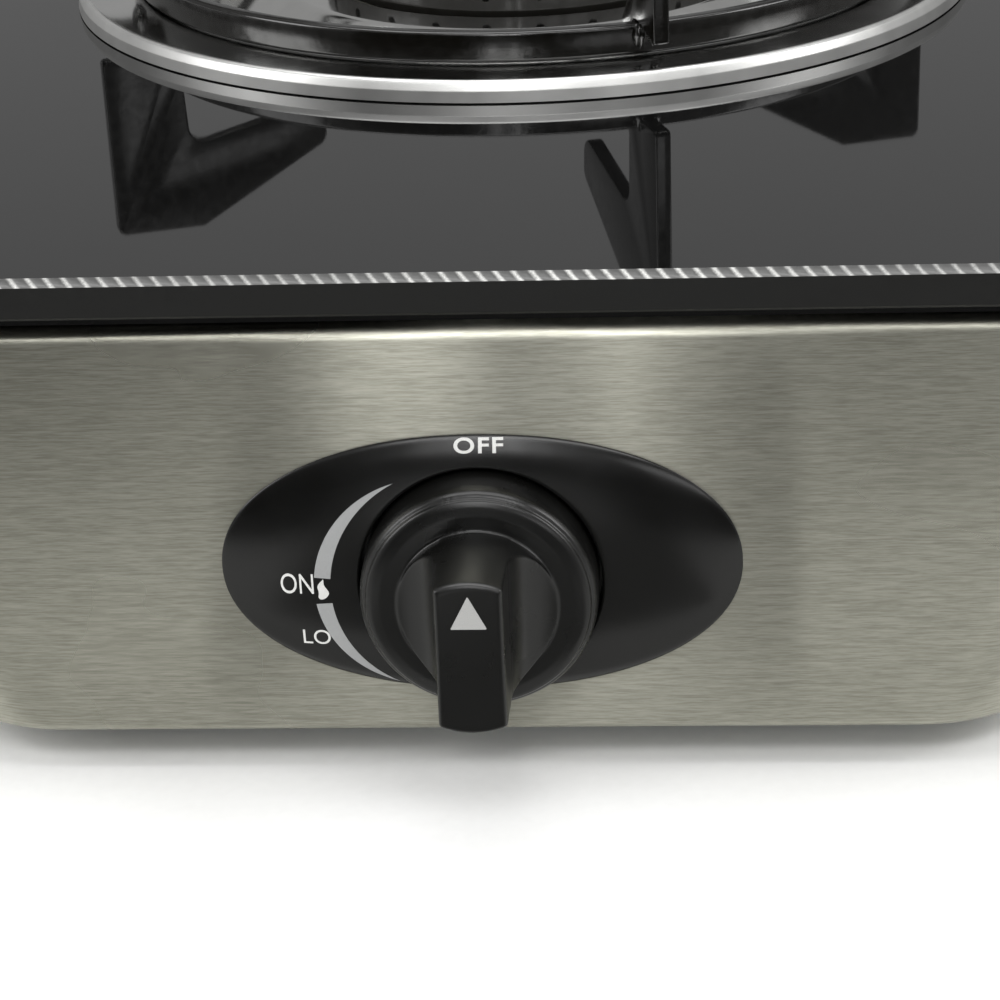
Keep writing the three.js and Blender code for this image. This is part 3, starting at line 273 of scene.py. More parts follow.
def softened(mesh, width, segments=3, limit=30.0):
    """Edges sharper than the limit rounded by a small radius."""
    settings = {
        "width": width * MM,
        "segments": segments,
        "limit_method": "ANGLE",
        "angle_limit": math.radians(limit),
    }
    return worked(mesh, ("BEVEL", settings))


def plan_outline(half, front, back, corner, inset=0.0, steps=24):
    """A rounded rectangle seen from above, moved inwards by inset."""
    radius = max(corner - inset, 1.0)
    right, low, high = half - inset - radius, front + inset + radius, back - inset - radius
    spots = []
    for x, y, start in ((right, low, -90), (right, high, 0),
                        (-right, high, 90), (-right, low, 180)):
        for k in range(steps + 1):
            angle = math.radians(start + 90 * k / steps)
            spots.append((x + radius * math.cos(angle), y + radius * math.sin(angle)))
    return np.array(spots)


def evened(outline, step):
    """The closed outline resampled at equal distances, with how far along each point is."""
    closed = np.vstack([outline, outline[:1]])
    lengths = np.linalg.norm(np.diff(closed, axis=0), axis=1)
    run = np.concatenate([[0], np.cumsum(lengths)])
    count = int(round(run[-1] / step))
    where = run[-1] * np.arange(count) / count
    spots = np.stack([np.interp(where, run, closed[:, k]) for k in (0, 1)], 1)
    return spots, where, run[-1]


# ------------------------------------------------------------------ materials

def color(code):
    """Linear colour of an sRGB hex code."""
    parts = [int(code[i:i + 2], 16) / 255 for i in (0, 2, 4)]
    linear = [p / 12.92 if p <= 0.04045 else ((p + 0.055) / 1.055) ** 2.4 for p in parts]
    return (*linear, 1.0)


class Finish:
    """A material of one principled surface, whose nodes are added one at a time."""

    def __init__(self, name, **surface):
        self.material = bpy.data.materials.new(name)
        self.material.use_nodes = True
        self.tree = self.material.node_tree
        self.surface = self.tree.nodes["Principled BSDF"]
        self.feed(self.surface, {k.replace("_", " "): v for k, v in surface.items()})
        self.place = self.node("ShaderNodeTexCoord", "Object")

    def feed(self, node, values):
        for key, value in values.items():
            if isinstance(value, bpy.types.NodeSocket):
                self.tree.links.new(value, node.inputs[key])
            else:
                node.inputs[key].default_value = value

    def node(self, kind, output, values=None, **settings):
        added = self.tree.nodes.new(kind)
        for key, value in settings.items():
            setattr(added, key, value)
        self.feed(added, values or {})
        return added.outputs[output]

    def noise(self, pitch_mm, detail=2.0, stretch=(1, 1, 1), roughness=0.5):
        """Noise whose grain is about pitch_mm, drawn out along an axis by a stretch below 1."""
        scaled = self.node("ShaderNodeVectorMath", "Vector",
                           {0: self.place, 1: stretch}, operation="MULTIPLY")
        return self.node("ShaderNodeTexNoise", "Fac", {
            "Vector": scaled, "Scale": 1 / (pitch_mm * MM), "Detail": detail,
            "Roughness": roughness})

    def between(self, value, low, high, from_low=0.3, from_high=0.7):
        return self.node("ShaderNodeMapRange", "Result", {
            "Value": value, "From Min": from_low, "From Max": from_high,
            "To Min": low, "To Max": high})

    def tint(self, value, first, second):
        mix = self.tree.nodes.new("ShaderNodeMix")
        mix.data_type = "RGBA"
        self.tree.links.new(value, mix.inputs[0])
        mix.inputs[6].default_value = color(first)
        mix.inputs[7].default_value = color(second)
        return mix.outputs[2]

    def bump(self, value, depth_mm, strength=1.0, below=None):
        values = {"Height": value, "Distance": depth_mm * MM, "Strength": strength}
        if below is not None:
            values["Normal"] = below
        return self.node("ShaderNodeBump", "Normal", values)

    def wear(self, **sockets):
        self.feed(self.surface, {k.replace("_", " "): v for k, v in sockets.items()})
        return self.material


def brushed_stainless():
    """Rolled stainless, brushed level: short fine scratches that draw highlights out upwards."""
    f = Finish("brushed_stainless_sheet", Metallic=1.0, Anisotropic=1.0,
               Anisotropic_Rotation=0.25)
    lines = f.noise(0.17, 3.0, (0.05, 0.05, 1.0), 0.6)
    dashes = f.noise(0.42, 2.0, (0.06, 0.06, 1.0), 0.6)
    patches = f.noise(45.0, 2.0, (0.5, 0.5, 1.0))
    shade = f.node("ShaderNodeMath", "Value", {0: lines, 1: dashes}, operation="ADD")
    shade = f.node("ShaderNodeMath", "Value", {0: shade, 1: 0.5}, operation="MULTIPLY")
    return f.wear(
        Base_Color=f.tint(f.between(shade, 0, 1, 0.38, 0.62), "9c9b8f", "b8b7ab"),
        Roughness=f.between(patches, 0.26, 0.31),
        Tangent=f.node("ShaderNodeTangent", "Tangent", direction_type="RADIAL", axis="Z"),
        Normal=f.bump(lines, 0.002, 0.5, f.bump(dashes, 0.003, 0.4)))


def black_glass():
    """Tempered glass printed black behind: a mirror at low angles, with a trace of roller wave."""
    f = Finish("black_tempered_glass", Metallic=0.0, IOR=1.52, Specular_IOR_Level=0.5)
    wave = f.noise(60.0, 1.0)
    haze = f.noise(14.0, 3.0)
    return f.wear(
        Base_Color=f.tint(haze, "0b0b0b", "0e0e0e"),
        Roughness=f.between(haze, 0.02, 0.035),
        Normal=f.bump(wave, 0.02, 0.25))


def ground_glass():
    """Wheel-ground glass edge: frosted grey, with a painted highlight that lifts the colour on the
    ridges between the wheel's cuts.
    """
    f = Finish("wheel_ground_glass_edge", Metallic=0.0, IOR=1.52)
    ridge_and_glint = f.node("ShaderNodeAttribute", "Fac", attribute_name="ridge_and_glint")
    grain = f.noise(0.4, 4.0, (1, 1, 1), 0.7)
    # Painted highlight: the ridge mask, broken up by grain, turns the base colour pale grey on the
    # ridges.
    glint_with_grain = f.node("ShaderNodeMath", "Value", {0: ridge_and_glint, 1: grain}, operation="MULTIPLY")
    pale = f.between(glint_with_grain, 0, 1, 0.08, 0.5)
    return f.wear(
        Base_Color=f.tint(pale, "565655", "c8c8c5"),
        Roughness=f.between(grain, 0.3, 0.5),
        Normal=f.bump(grain, 0.03, 0.6))


def matt_glass():
    """Upright edge of the glass, ground dull: nearly black, without a clear reflection."""
    f = Finish("dull_ground_glass_edge", Metallic=0.0, IOR=1.45)
    grain = f.noise(0.5, 3.0, (0.3, 0.3, 1), 0.6)
    return f.wear(
        Base_Color=f.tint(grain, "0c0c0a", "131311"),
        Roughness=f.between(grain, 0.45, 0.55),
        Normal=f.bump(grain, 0.01, 0.3))


def polished_stainless():
    """Spun and polished stainless: mirror bright inside, satin on the rolled rim, with faint
    rings left by the spinning."""
    f = Finish("spun_polished_stainless", Metallic=1.0)
    about = f.node("ShaderNodeVectorMath", "Vector",
                   {0: f.place, 1: (0, -BURNER_Y * MM, 0)}, operation="ADD")
    flat = f.node("ShaderNodeVectorMath", "Vector", {0: about, 1: (1, 1, 0)},
                  operation="MULTIPLY")
    radius = f.node("ShaderNodeVectorMath", "Value", {0: flat}, operation="LENGTH")
    rings = f.node("ShaderNodeTexWave", "Fac", {
        "Vector": about, "Scale": 260.0, "Distortion": 1.5, "Detail": 2.0, "Detail Scale": 1.5},
        wave_type="RINGS", rings_direction="Z")
    cloud = f.noise(9.0, 3.0)
    satin = f.between(radius, 0.0, 0.26, 0.1072, 0.1084)
    rough = f.node("ShaderNodeMath", "Value",
                   {0: f.between(cloud, 0.1, 0.16), 1: satin}, operation="ADD")
    return f.wear(
        Base_Color=f.tint(cloud, "c6c6c4", "d8d8d6"),
        Roughness=rough,
        Normal=f.bump(rings, 0.004, 0.2))


def gloss_enamel(name, first, second, low, high, peel):
    """Fired enamel: deep black with an orange-peel surface."""
    f = Finish(name, Metallic=0.0, IOR=1.5, Coat_Weight=0.15, Coat_Roughness=0.08)
    cells = f.noise(2.2, 2.0)
    specks = f.noise(0.35, 3.0, (1, 1, 1), 0.7)
    return f.wear(
        Base_Color=f.tint(specks, first, second),
        Roughness=f.between(cells, low, high),
        Normal=f.bump(cells, peel, 0.7, f.bump(specks, 0.01, 0.4)))


def moulded_black(name, first, second, low, high, grain_mm):
    """Injection-moulded black plastic: soft gloss, very slight sink and a fine skin."""
    f = Finish(name, Metallic=0.0, IOR=1.49)
    skin = f.noise(grain_mm, 3.0, (1, 1, 1), 0.6)
    sink = f.noise(7.0, 1.0)
    smudge = f.noise(12.0, 3.0)
    return f.wear(
        Base_Color=f.tint(smudge, first, second),
        Roughness=f.between(smudge, low, high),
        Normal=f.bump(skin, 0.008, 0.5, f.bump(sink, 0.02, 0.35)))


def plated(name, first, second, low, high, pitch):
    """Plated or cast metal with a mottled surface of the given grain."""
    f = Finish(name, Metallic=1.0)
    mottle = f.noise(pitch, 4.0, (1, 1, 1), 0.65)
    return f.wear(
        Base_Color=f.tint(f.between(mottle, 0, 1), first, second),
        Roughness=f.between(mottle, low, high),
        Normal=f.bump(mottle, 0.02, 0.4))


def spangled():
    """Hot-dip galvanised sheet: flat crystals, each its own grey."""
    f = Finish("galvanised_spangle_sheet", Metallic=1.0)
    cells = f.node("ShaderNodeTexVoronoi", "Color", {"Vector": f.place, "Scale": 130.0})
    grey = f.node("ShaderNodeRGBToBW", "Val", {"Color": cells})
    return f.wear(
        Base_Color=f.tint(grey, "8f9496", "b7bbbd"),
        Roughness=f.between(grey, 0.32, 0.55, 0, 1),
        Normal=f.bump(f.noise(0.8, 3.0), 0.01, 0.4))


def dull(name, first, second, low, high, pitch, depth, ior=1.5):
    """Unplated matt matter with a fine grain: rubber, bare plastic, ceramic or sleeve."""
    f = Finish(name, Metallic=0.0, IOR=ior)
    grain = f.noise(pitch, 4.0, (1, 1, 1), 0.6)
    return f.wear(
        Base_Color=f.tint(f.between(grain, 0, 1), first, second),
        Roughness=f.between(grain, low, high),
        Normal=f.bump(grain, depth, 0.5))


FINISHES = {
    "stainless_body": brushed_stainless(),
    "black_glass": black_glass(),
    "polished_pan": polished_stainless(),
    "support_enamel": gloss_enamel("fired_black_enamel", "070604", "0c0b08", 0.13, 0.24, 0.04),
    "burner_enamel": gloss_enamel("satin_black_enamel", "12110e", "1d1b17", 0.42, 0.6, 0.08),
    "knob_plastic": moulded_black("moulded_black_knob", "070706", "0c0c0b", 0.25, 0.34, 0.35),
    "bezel_plastic": moulded_black("moulded_black_bezel", "070706", "0b0b0a", 0.2, 0.27, 0.5),
    "foot_rubber": dull("moulded_black_rubber", "151515", "202020", 0.7, 0.85, 0.5, 0.05),
    "seal_rubber": dull("extruded_seal_rubber", "090909", "101010", 0.75, 0.9, 0.6, 0.04),
    "screw_zinc": plated("bright_zinc_plating", "b3b6b8", "cfd2d4", 0.2, 0.34, 1.5),
    "galvanised_sheet": spangled(),
    "cast_metal": plated("sand_cast_metal", "77776f", "97978f", 0.5, 0.7, 0.7),
    "brass_fitting": plated("turned_brass", "b08a45", "cba65c", 0.22, 0.36, 2.0),
    "plated_steel": plated("zinc_plated_steel", "a7abad", "c4c8ca", 0.25, 0.4, 2.5),
    "spring_steel": plated("drawn_spring_steel", "7c7f82", "989b9e", 0.25, 0.38, 1.0),
    "white_plastic": dull("moulded_white_plastic", "d6d2c6", "e2dfd5", 0.38, 0.5, 0.7, 0.02),
    "white_ceramic": dull("fired_white_ceramic", "dfdad0", "ece8df", 0.2, 0.32, 1.0, 0.02, 1.6),
    "lead_silicone": dull("silicone_sleeve", "7c2417", "93301f", 0.5, 0.65, 0.5, 0.03, 1.43),
}
GROUND_EDGE = ground_glass()
MATT_EDGE = matt_glass()
WHITE_INK = dull("white_pad_print", "c9c9c6", "dcdcd9", 0.45, 0.55, 0.2, 0.004)
SILVER_INK = dull("silver_pad_print", "8e8f8f", "a2a3a3", 0.35, 0.45, 0.12, 0.006)
GREY_INK = dull("pale_grey_pad_print", "9b9b99", "a7a7a5", 0.45, 0.55, 0.2, 0.004)

for part in frame["record"]["subparts"]:
    cad = frame["nodes"][part["node"]].data
    cad.materials.clear()
    cad.materials.append(FINISHES[part["material_slot"]])


# ------------------------------------------------------------------ glass top

def glass_sheet():
    """A slab with a round hole. Its upper edge is ground into flutes: across the bevel each
    point is set back by a fixed depth except on narrow ridges, bell curves of the distance
    along the edge, which is skewed so that the ridges slant."""
    outline = plan_outline(GLASS_HALF, GLASS_FRONT, GLASS_BACK, GLASS_CORNER)
    edge, along, total = evened(outline, 0.45)
    ahead, behind = np.roll(edge, -1, 0), np.roll(edge, 1, 0)
    tangent = (ahead - behind) / np.linalg.norm(ahead - behind, axis=1)[:, None]
    outward = np.stack([tangent[:, 1], -tangent[:, 0]], 1)
    pitch = total / round(total / FLUTE_PITCH)
    away = edge - np.array([0, BURNER_Y])
    away /= np.linalg.norm(away, axis=1)[:, None]
    rim = np.array([0, BURNER_Y]) + away * GLASS_HOLE
    height = lambda value: np.full((len(edge), 1), value)
    rows = [
        np.hstack([rim, height(GLASS_BOTTOM + 0.5)]),
        np.hstack([rim, height(GLASS_TOP - 0.6)]),
        np.hstack([rim + away * 0.6, height(GLASS_TOP)]),
    ]
    # How strongly the ridges stand out along the edge: it sets their relief and also the painted
    # highlight that the edge material lays on them.
    glint_and_relief_strength = 0.6 + 0.4 * np.sin(2 * math.pi * (along / total) * 5 + 0.8) ** 2
    ridges = [np.zeros(len(edge))] * len(rows)
    for share in np.linspace(0, 1, 7):
        phase = (along / pitch - 0.5 * share) % 1 - 0.5
        ridge_and_glint = np.exp(-(phase / 0.17) ** 2) * glint_and_relief_strength
        set_back = FLUTE_DEPTH * (1 - ridge_and_glint) * math.sin(math.pi * share)
        inset = FLUTE_WIDTH * (1 - share) + 0.7 * set_back
        drop = FLUTE_WIDTH * share + 0.7 * set_back
        rows.append(np.hstack([edge - outward * inset[:, None],
                               (GLASS_TOP - drop)[:, None]]))
        ridges.append(ridge_and_glint)
    rows.append(np.hstack([edge, height(GLASS_TOP - FLUTE_WIDTH - 0.25)]))
    rows.append(np.hstack([edge, height(GLASS_BOTTOM + 0.6)]))
    rows.append(np.hstack([edge - outward * 0.6, height(GLASS_BOTTOM)]))
    rows.append(np.hstack([rim + away * 0.5, height(GLASS_BOTTOM)]))
    ridges += [np.zeros(len(edge))] * (len(rows) - len(ridges))
    mesh = grid_mesh(np.array(rows))
    # The ridges are kept on the points for the edge material, which paints a highlight on them.
    layer = mesh.attributes.new("ridge_and_glint", "FLOAT", "POINT")
    layer.data.foreach_set("value", np.concatenate(ridges).astype(np.float32))
    sheet = shown("glass_sheet", mesh, "black_glass", "chassis", ["glass_top"], sharp=25)
    sheet.data.materials.append(GROUND_EDGE)
    sheet.data.materials.append(MATT_EDGE)
    for face in sheet.data.polygons:
        middle = face.center / MM
        outer = (abs(middle.x) > 0.9 * GLASS_HALF
                 or abs(middle.y - GLASS_MIDDLE_Y) > 0.95 * GLASS_HALF_LENGTH)
        if abs(face.normal.z) > 0.99:
            face.use_smooth = False
        elif outer and middle.z > GLASS_TOP - FLUTE_WIDTH - 0.05:
            face.material_index = 1
        elif outer:
            face.material_index = 2


glass_sheet()


# ------------------------------------------------------------------ body

def body_outline(z, inset):
    """The body's plan at a height: the sides and back lean in and the corners widen downwards."""
    drop = 1 - (z - BODY_BOTTOM) / BODY_HEIGHT
    half = BODY_TOP_HALF + (BODY_BOTTOM_HALF - BODY_TOP_HALF) * drop
    corner = BODY_TOP_CORNER + (BODY_BOTTOM_CORNER - BODY_TOP_CORNER) * drop
    return plan_outline(half, PANEL_Y, BACK_Y - BACK_TAPER * drop, corner, inset)


def body_shell():
    """Sheet pressed into a tub: a section of (inset, height) with rounded bends carried round
    the plan, then pierced for the knob, the inlet and the vents."""
    section = rounded([
        (LIP, BODY_BOTTOM), (0, BODY_BOTTOM, 1.9), (0, BODY_TOP, 2.6), (LIP, BODY_TOP),
        (LIP, BODY_TOP - SHEET), (SHEET, BODY_TOP - SHEET, 1.8),
        (SHEET, BODY_BOTTOM + SHEET, 1.1), (LIP, BODY_BOTTOM + SHEET)], steps=8)
    rows = []
    for inset, z in section:
        outline = body_outline(z, inset)
        rows.append(np.hstack([outline, np.full((len(outline), 1), z)]))
    shell = grid_mesh(np.array(rows))
    tools = [
        rod_mesh(RECESS_RADIUS + 1.2, PANEL_Y - 1, PANEL_Y + 3, 96, 0, KNOB_Z),
        rod_mesh(6.3, BACK_Y - 20, BACK_Y + 1, 48, INLET_X, INLET_Z),
    ]
    for i in range(VENTS):
        x = (i - (VENTS - 1) / 2) * VENT_PITCH + VENT_MIDDLE
        left, right = x - VENT_HALF_WIDTH, x + VENT_HALF_WIDTH
        slot = rounded([(left, VENT_LOW), (right, VENT_LOW), (right, VENT_HIGH),
                        (left, VENT_HIGH)], 1.45)
        tools.append(prism_mesh(slot, BACK_Y - 12, BACK_Y + 1, lambda a, b, t: (a, t, b)))
    shell = combined(shell, tools, "DIFFERENCE")
    shown("stainless_shell", shell, "stainless_body", "chassis", ["body_shell"], sharp=24)


body_shell()


def lathe_piece(name, corners, slot, body, replaced, radius=0.3, sides=128, centre=(0, 0, 0),
                forward=False):
    """A turned piece from the corners of its closed section."""
    section = rounded(corners, radius)
    shown(name, turned_mesh(section, sides, centre, forward), slot, body, replaced)


for index, (x, y) in enumerate(FEET):
    lathe_piece(f"round_foot_{index + 1}", [
        (1.9, BASE_LOW - GAP, 0), (9.6, BASE_LOW - GAP), (10.6, 1.4, 0.6), (9.8, 0, 0.5),
        (4.4, 0), (4.4, 4.5), (1.9, 4.5, 0)],
        "foot_rubber", "chassis", [f"rubber_foot_{index + 1}"], 0.35, 64, (x, y, 0))


def pan_screw(name, head_top, tip, x, y, replaced):
    """A pan-head screw seen from below, with a cross sunk in its head."""
    head = rounded([(0, head_top - 1.6, 0), (2.4, head_top - 1.6, 0.7), (3, head_top - 0.6, 0.4),
                    (3, head_top, 0.1), (1.5, head_top, 0), (1.5, tip - 0.4, 0),
                    (1.1, tip, 0), (0, tip, 0)], closed=False)
    body = turned_mesh(head, 48, (x, y, 0), closed=False)
    cross = [box_mesh((x - a, y - b, head_top - 3), (x + a, y + b, head_top - 0.7))
             for a, b in ((1.5, 0.28), (0.28, 1.5))]
    shown(name, combined(body, cross, "DIFFERENCE"), "screw_zinc", "chassis", [replaced])


for index, (x, y) in enumerate(FEET):
    pan_screw(f"cross_foot_screw_{index + 1}", 4.2, BASE_TOP + 3, x, y, f"foot_screw_{index + 1}")
for index, (x, y) in enumerate(BASE_SCREWS):
    pan_screw(f"cross_base_screw_{index + 1}", BODY_BOTTOM - GAP, BASE_TOP + 3, x, y,
              f"base_screw_{index + 1}")


# ------------------------------------------------------------------ drip pan and pot support

def drip_pan():
    """Spun sheet: a smooth line of (radius, height above the glass) with its own thickness."""
    line = rounded([
        (50, -1.5), (50.6, 3.4, 1.4), (62, 3.4, 5), (75, -5, 6), (85, -5, 5),
        (91, PAN_LEDGE, 2.5), (105, PAN_LEDGE, 3), (108.7, 5, 1.3), (109.7, 2.8, 1.2),
        (PAN_RADIUS, GAP)], steps=10, closed=False)
    ahead = np.vstack([line[1:], line[-1:]])
    behind = np.vstack([line[:1], line[:-1]])
    run = ahead - behind
    run /= np.linalg.norm(run, axis=1)[:, None]
    under = line + PAN_SHEET * np.stack([run[:, 1], -run[:, 0]], 1)
    section = np.vstack([line, under[::-1]])
    pan = turned_mesh(section, 256, (0, BURNER_Y, GLASS_TOP))
    turn = math.radians(SPARK_HOLE_TURN)
    across, along = SPARK_HOLE_REACH * math.cos(turn), SPARK_HOLE_REACH * math.sin(turn)
    hole = turned_mesh([(0, -4), (SPARK_HOLE_RADIUS, -4), (SPARK_HOLE_RADIUS, 8), (0, 8)], 48,
                       (across, BURNER_Y + along, GLASS_TOP), closed=False)
    shown("spun_pan", combined(pan, [hole], "DIFFERENCE"), "polished_pan", "pan", ["drip_pan"])


drip_pan()

lathe_piece("enamelled_ring", [
    (RING_INNER, RING_LOW), (RING_OUTER, RING_LOW), (RING_OUTER, RING_HIGH),
    (RING_INNER, RING_HIGH)], "support_enamel", "pot_support", ["support_ring"], 0.9, 256,
    (0, BURNER_Y, GLASS_TOP))


def support_blade(number):
    """Plate cut with a sloping arm and a foot over the ring, its edges softened by enamel, and
    two weld beads where it meets the ring."""
    outline = rounded([
        (88, BLADE_LOW), (RING_INNER - GAP, BLADE_LOW), (RING_INNER - GAP, RING_HIGH + GAP),
        (RING_OUTER + GAP, RING_HIGH + GAP), (RING_OUTER + GAP, BLADE_OUTER_LOW),
        (107, BLADE_OUTER_LOW, 1.2), (106.6, BLADE_HEIGHT, 2.2), (85.2, BLADE_HEIGHT, 2),
        (52.4, 35.7, 3.4), (53.4, 25.1, 4), (86.8, 33, 3.6), (87.8, 14.6, 3), (84, 10.5, 1),
        (88, 6, 1)], steps=6)
    turn = math.radians(BLADE_TURN + 360 / BLADES * number)
    out, side = (math.cos(turn), math.sin(turn)), (-math.sin(turn), math.cos(turn))

    def place(reach, height, shift):
        return (reach * out[0] + shift * side[0], BURNER_Y + reach * out[1] + shift * side[1],
                GLASS_TOP + height)

    half = BLADE_THICKNESS / 2
    plate = softened(prism_mesh(outline, -half, half, place), 0.8)
    shown(f"enamelled_blade_{number + 1}", plate, "support_enamel", "pot_support",
          [f"support_blade_{number + 1}"])
    for sign in (-1, 1):
        for reach, size in ((RING_OUTER + 0.1, 1.6), (RING_INNER - 0.1, 1.4)):
            angles = np.linspace(0, math.pi, 9)
            around = 2 * math.pi * np.arange(20) / 20
            lumps = 1 + 0.12 * np.sin(5 * around)[None, :] * np.sin(3 * angles)[:, None]
            x = np.sin(angles)[:, None] * np.cos(around)[None, :] * size * lumps
            y = np.sin(angles)[:, None] * np.sin(around)[None, :] * size * 0.8 * lumps
            z = np.cos(angles)[:, None] * WELD_HALF_LENGTH * lumps
            spots = np.array([[place(reach + x[i, j], WELD_HEIGHT + z[i, j],
                                     sign * half + y[i, j])
                               for j in range(len(around))] for i in range(len(angles))])
            bead = grid_mesh(spots, close_rows=False)
            which = f"{number + 1}_{'left' if sign < 0 else 'right'}_{int(size * 10)}"
            shown(f"weld_bead_{which}", bead, "support_enamel", "pot_support")


for index in range(BLADES):
    support_blade(index)


# ------------------------------------------------------------------ burner

burner = {"centre": (0, BURNER_Y, GLASS_TOP)}
head = turned_mesh(rounded([
    (39.6, -3), (43, -3), (43, 1.9), (47.6, 1.9, 0.6), (48.6, 4, 0.8), (48.6, 12.5, 0.9),
    (46.6, 15, 0.9), (37, 15, 0.5), (37, 12), (40.4, 9)], 0.3), 192, **burner)
ports = []
for index in range(PORTS):
    turn = 2 * math.pi * (index + 0.5) / PORTS
    slot = rounded([(-1, 6.2), (1, 6.2), (1, 10.6), (-1, 10.6)], 0.9)
    ports.append(prism_mesh(slot, 36, 52, lambda a, b, t, c=math.cos(turn), s=math.sin(turn): (
        t * c - a * s, BURNER_Y + t * s + a * c, GLASS_TOP + b)))
shown("slotted_burner_head", combined(head, ports, "DIFFERENCE"), "burner_enamel", "head",
      ["burner_head"])
cap = rounded([(0, 12.6), (36.6, 12.6, 0.4), (36.6, 15.3, 0.3), (43.4, 15.3, 0.5),
               (44, 17.2, 0.9), (40, 20, 3), (26, 22.1, 8), (0, 22.6)], closed=False)
shown("domed_burner_cap", turned_mesh(cap, 192, closed=False, **burner), "burner_enamel", "cap",
      ["burner_cap"])
lathe_piece("cast_burner_bowl", [
    (13.1, -40), (24, -40), (24, -35), (31, -31), (44, -17), (46.5, -6), (46.5, 1.6),
    (43.4, 1.6), (43.4, -6), (41, -15), (29, -28), (13.1, -31)], "cast_metal", "chassis",
    ["burner_body"], 0.8, 128, **burner)

lathe_piece("barbed_nozzle", [
    (2.6, -180, 0), (5.8, -180, 0), (5.8, -196.5, 0), (8.4, -196.5), (8.4, -200.6),
    (5, -201.6), (5, 18 - NOZZLE_END), (5.7, 16 - NOZZLE_END), (4.8, 11 - NOZZLE_END),
    (5.6, 9 - NOZZLE_END), (4.7, 3 - NOZZLE_END), (4, -NOZZLE_END), (2.6, -NOZZLE_END)],
    "brass_fitting", "chassis", ["hose_nozzle"], 0.25, 64, (INLET_X, 0, INLET_Z), True)


# ------------------------------------------------------------------ bezel and its marks

def bezel_height(x, z):
    """How far the bezel's face stands in front of the panel: an edge height plus a rise times a
    power of one less the oval distance from the centre, which is 1 at the outline."""
    reach = (np.abs(x / BEZEL_HALF_WIDTH) ** BEZEL_POWER
             + np.abs((z - BEZEL_Z) / BEZEL_HALF_HEIGHT) ** BEZEL_POWER) ** (1 / BEZEL_POWER)
    fall = np.clip(1 - reach ** 3.5, 0, 1)
    return BEZEL_EDGE + (BEZEL_RISE - BEZEL_EDGE) * fall ** 0.75


def bezel():
    """A domed oval that blends into a round recess for the knob, with a cup behind it."""
    turns = 2 * math.pi * np.arange(240) / 240
    power = 2 / BEZEL_POWER
    outer = np.stack([
        BEZEL_HALF_WIDTH * np.sign(np.cos(turns)) * np.abs(np.cos(turns)) ** power,
        BEZEL_Z + BEZEL_HALF_HEIGHT * np.sign(np.sin(turns)) * np.abs(np.sin(turns)) ** power], 1)
    middle = np.array([0, KNOB_Z])
    away = outer - middle
    away /= np.linalg.norm(away, axis=1)[:, None]

    def row(flat, rise):
        rise = np.broadcast_to(rise, (len(flat),))
        return np.stack([flat[:, 0], PANEL_Y - rise, flat[:, 1]], 1)

    circle = lambda radius: middle + away * radius
    cup = circle(24.3)
    rim = circle(RECESS_RADIUS + RECESS_LIP)
    stem_hole = circle(5)
    rows = [row(cup, BEZEL_BACK), row(cup, GAP), row(outer, GAP), row(outer, BEZEL_EDGE)]
    for share in np.linspace(0, 1, 40)[1:] ** 1.7:
        flat = outer + (rim - outer) * share
        rows.append(row(flat, bezel_height(flat[:, 0], flat[:, 1])))
    top = bezel_height(rim[:, 0], rim[:, 1])
    for k in range(1, 5):
        angle = math.pi / 2 * k / 4
        flat = circle(RECESS_RADIUS + RECESS_LIP * (1 - math.sin(angle)))
        rows.append(row(flat, top - RECESS_LIP * (1 - math.cos(angle))))
    rows += [row(circle(RECESS_RADIUS), RECESS_FLOOR), row(stem_hole, RECESS_FLOOR),
             row(stem_hole, BEZEL_BACK)]
    shown("domed_bezel", grid_mesh(np.array(rows)), "bezel_plastic", "chassis", ["knob_bezel"])


bezel()


def printed(name, mesh, ink, body):
    """A thin layer of ink in the flat, where y is the rise above the bezel's face. It is cut
    into narrow rows first, so that it can follow the dome."""
    shape = bmesh.new()
    shape.from_mesh(mesh)
    for z in np.arange(BEZEL_Z - BEZEL_HALF_HEIGHT, BEZEL_Z + BEZEL_HALF_HEIGHT, PRINT_ROW):
        bmesh.ops.bisect_plane(shape, geom=shape.verts[:] + shape.edges[:] + shape.faces[:],
                               plane_co=(0, 0, z * MM), plane_no=(0, 0, 1), dist=1e-7)
    shape.to_mesh(mesh)
    shape.free()
    count = len(mesh.vertices)
    spots = np.zeros(count * 3)
    mesh.vertices.foreach_get("co", spots)
    spots = spots.reshape(-1, 3) / MM
    rise = bezel_height(spots[:, 0], spots[:, 2])
    spots[:, 1] = PANEL_Y - rise - PRINT_LIFT + spots[:, 1]
    mesh.vertices.foreach_set("co", (spots * MM).ravel())
    mark = shown(name, mesh, "bezel_plastic", body)
    mark.data.materials[0] = ink


def lettering(name, words, x, z, width, height, weight, spacing=1.0):
    """Words of the given overall size, centred on (x, z) of the front panel."""
    curve = bpy.data.curves.new(name, "FONT")
    curve.body = words
    curve.offset = weight
    curve.space_character = spacing
    curve.resolution_u = 6
    curve.extrude = 0.02
    holder = added(name, curve)
    graph = bpy.context.evaluated_depsgraph_get()
    mesh = bpy.data.meshes.new_from_object(holder.evaluated_get(graph))
    bpy.data.objects.remove(holder)
    spots = np.array([v.co for v in mesh.vertices])
    low, high = spots.min(0), spots.max(0)
    flat = (spots - (low + high) / 2) / (high - low)
    placed = np.stack([x + flat[:, 0] * width, -0.05 * flat[:, 2], z + flat[:, 1] * height], 1)
    mesh.vertices.foreach_set("co", (placed * MM).ravel())
    printed(name, mesh, WHITE_INK, "chassis")


lettering("mark_off", "OFF", 0.5, KNOB_Z + 27.8, 9.4, 2.8, 0.02, 1.12)
lettering("mark_on", "ON", -35.5, KNOB_Z, 6.4, 4.3, 0.0)
lettering("mark_low", "LO", -32.4, KNOB_Z - 11.8, 5.4, 3.3, 0.0)


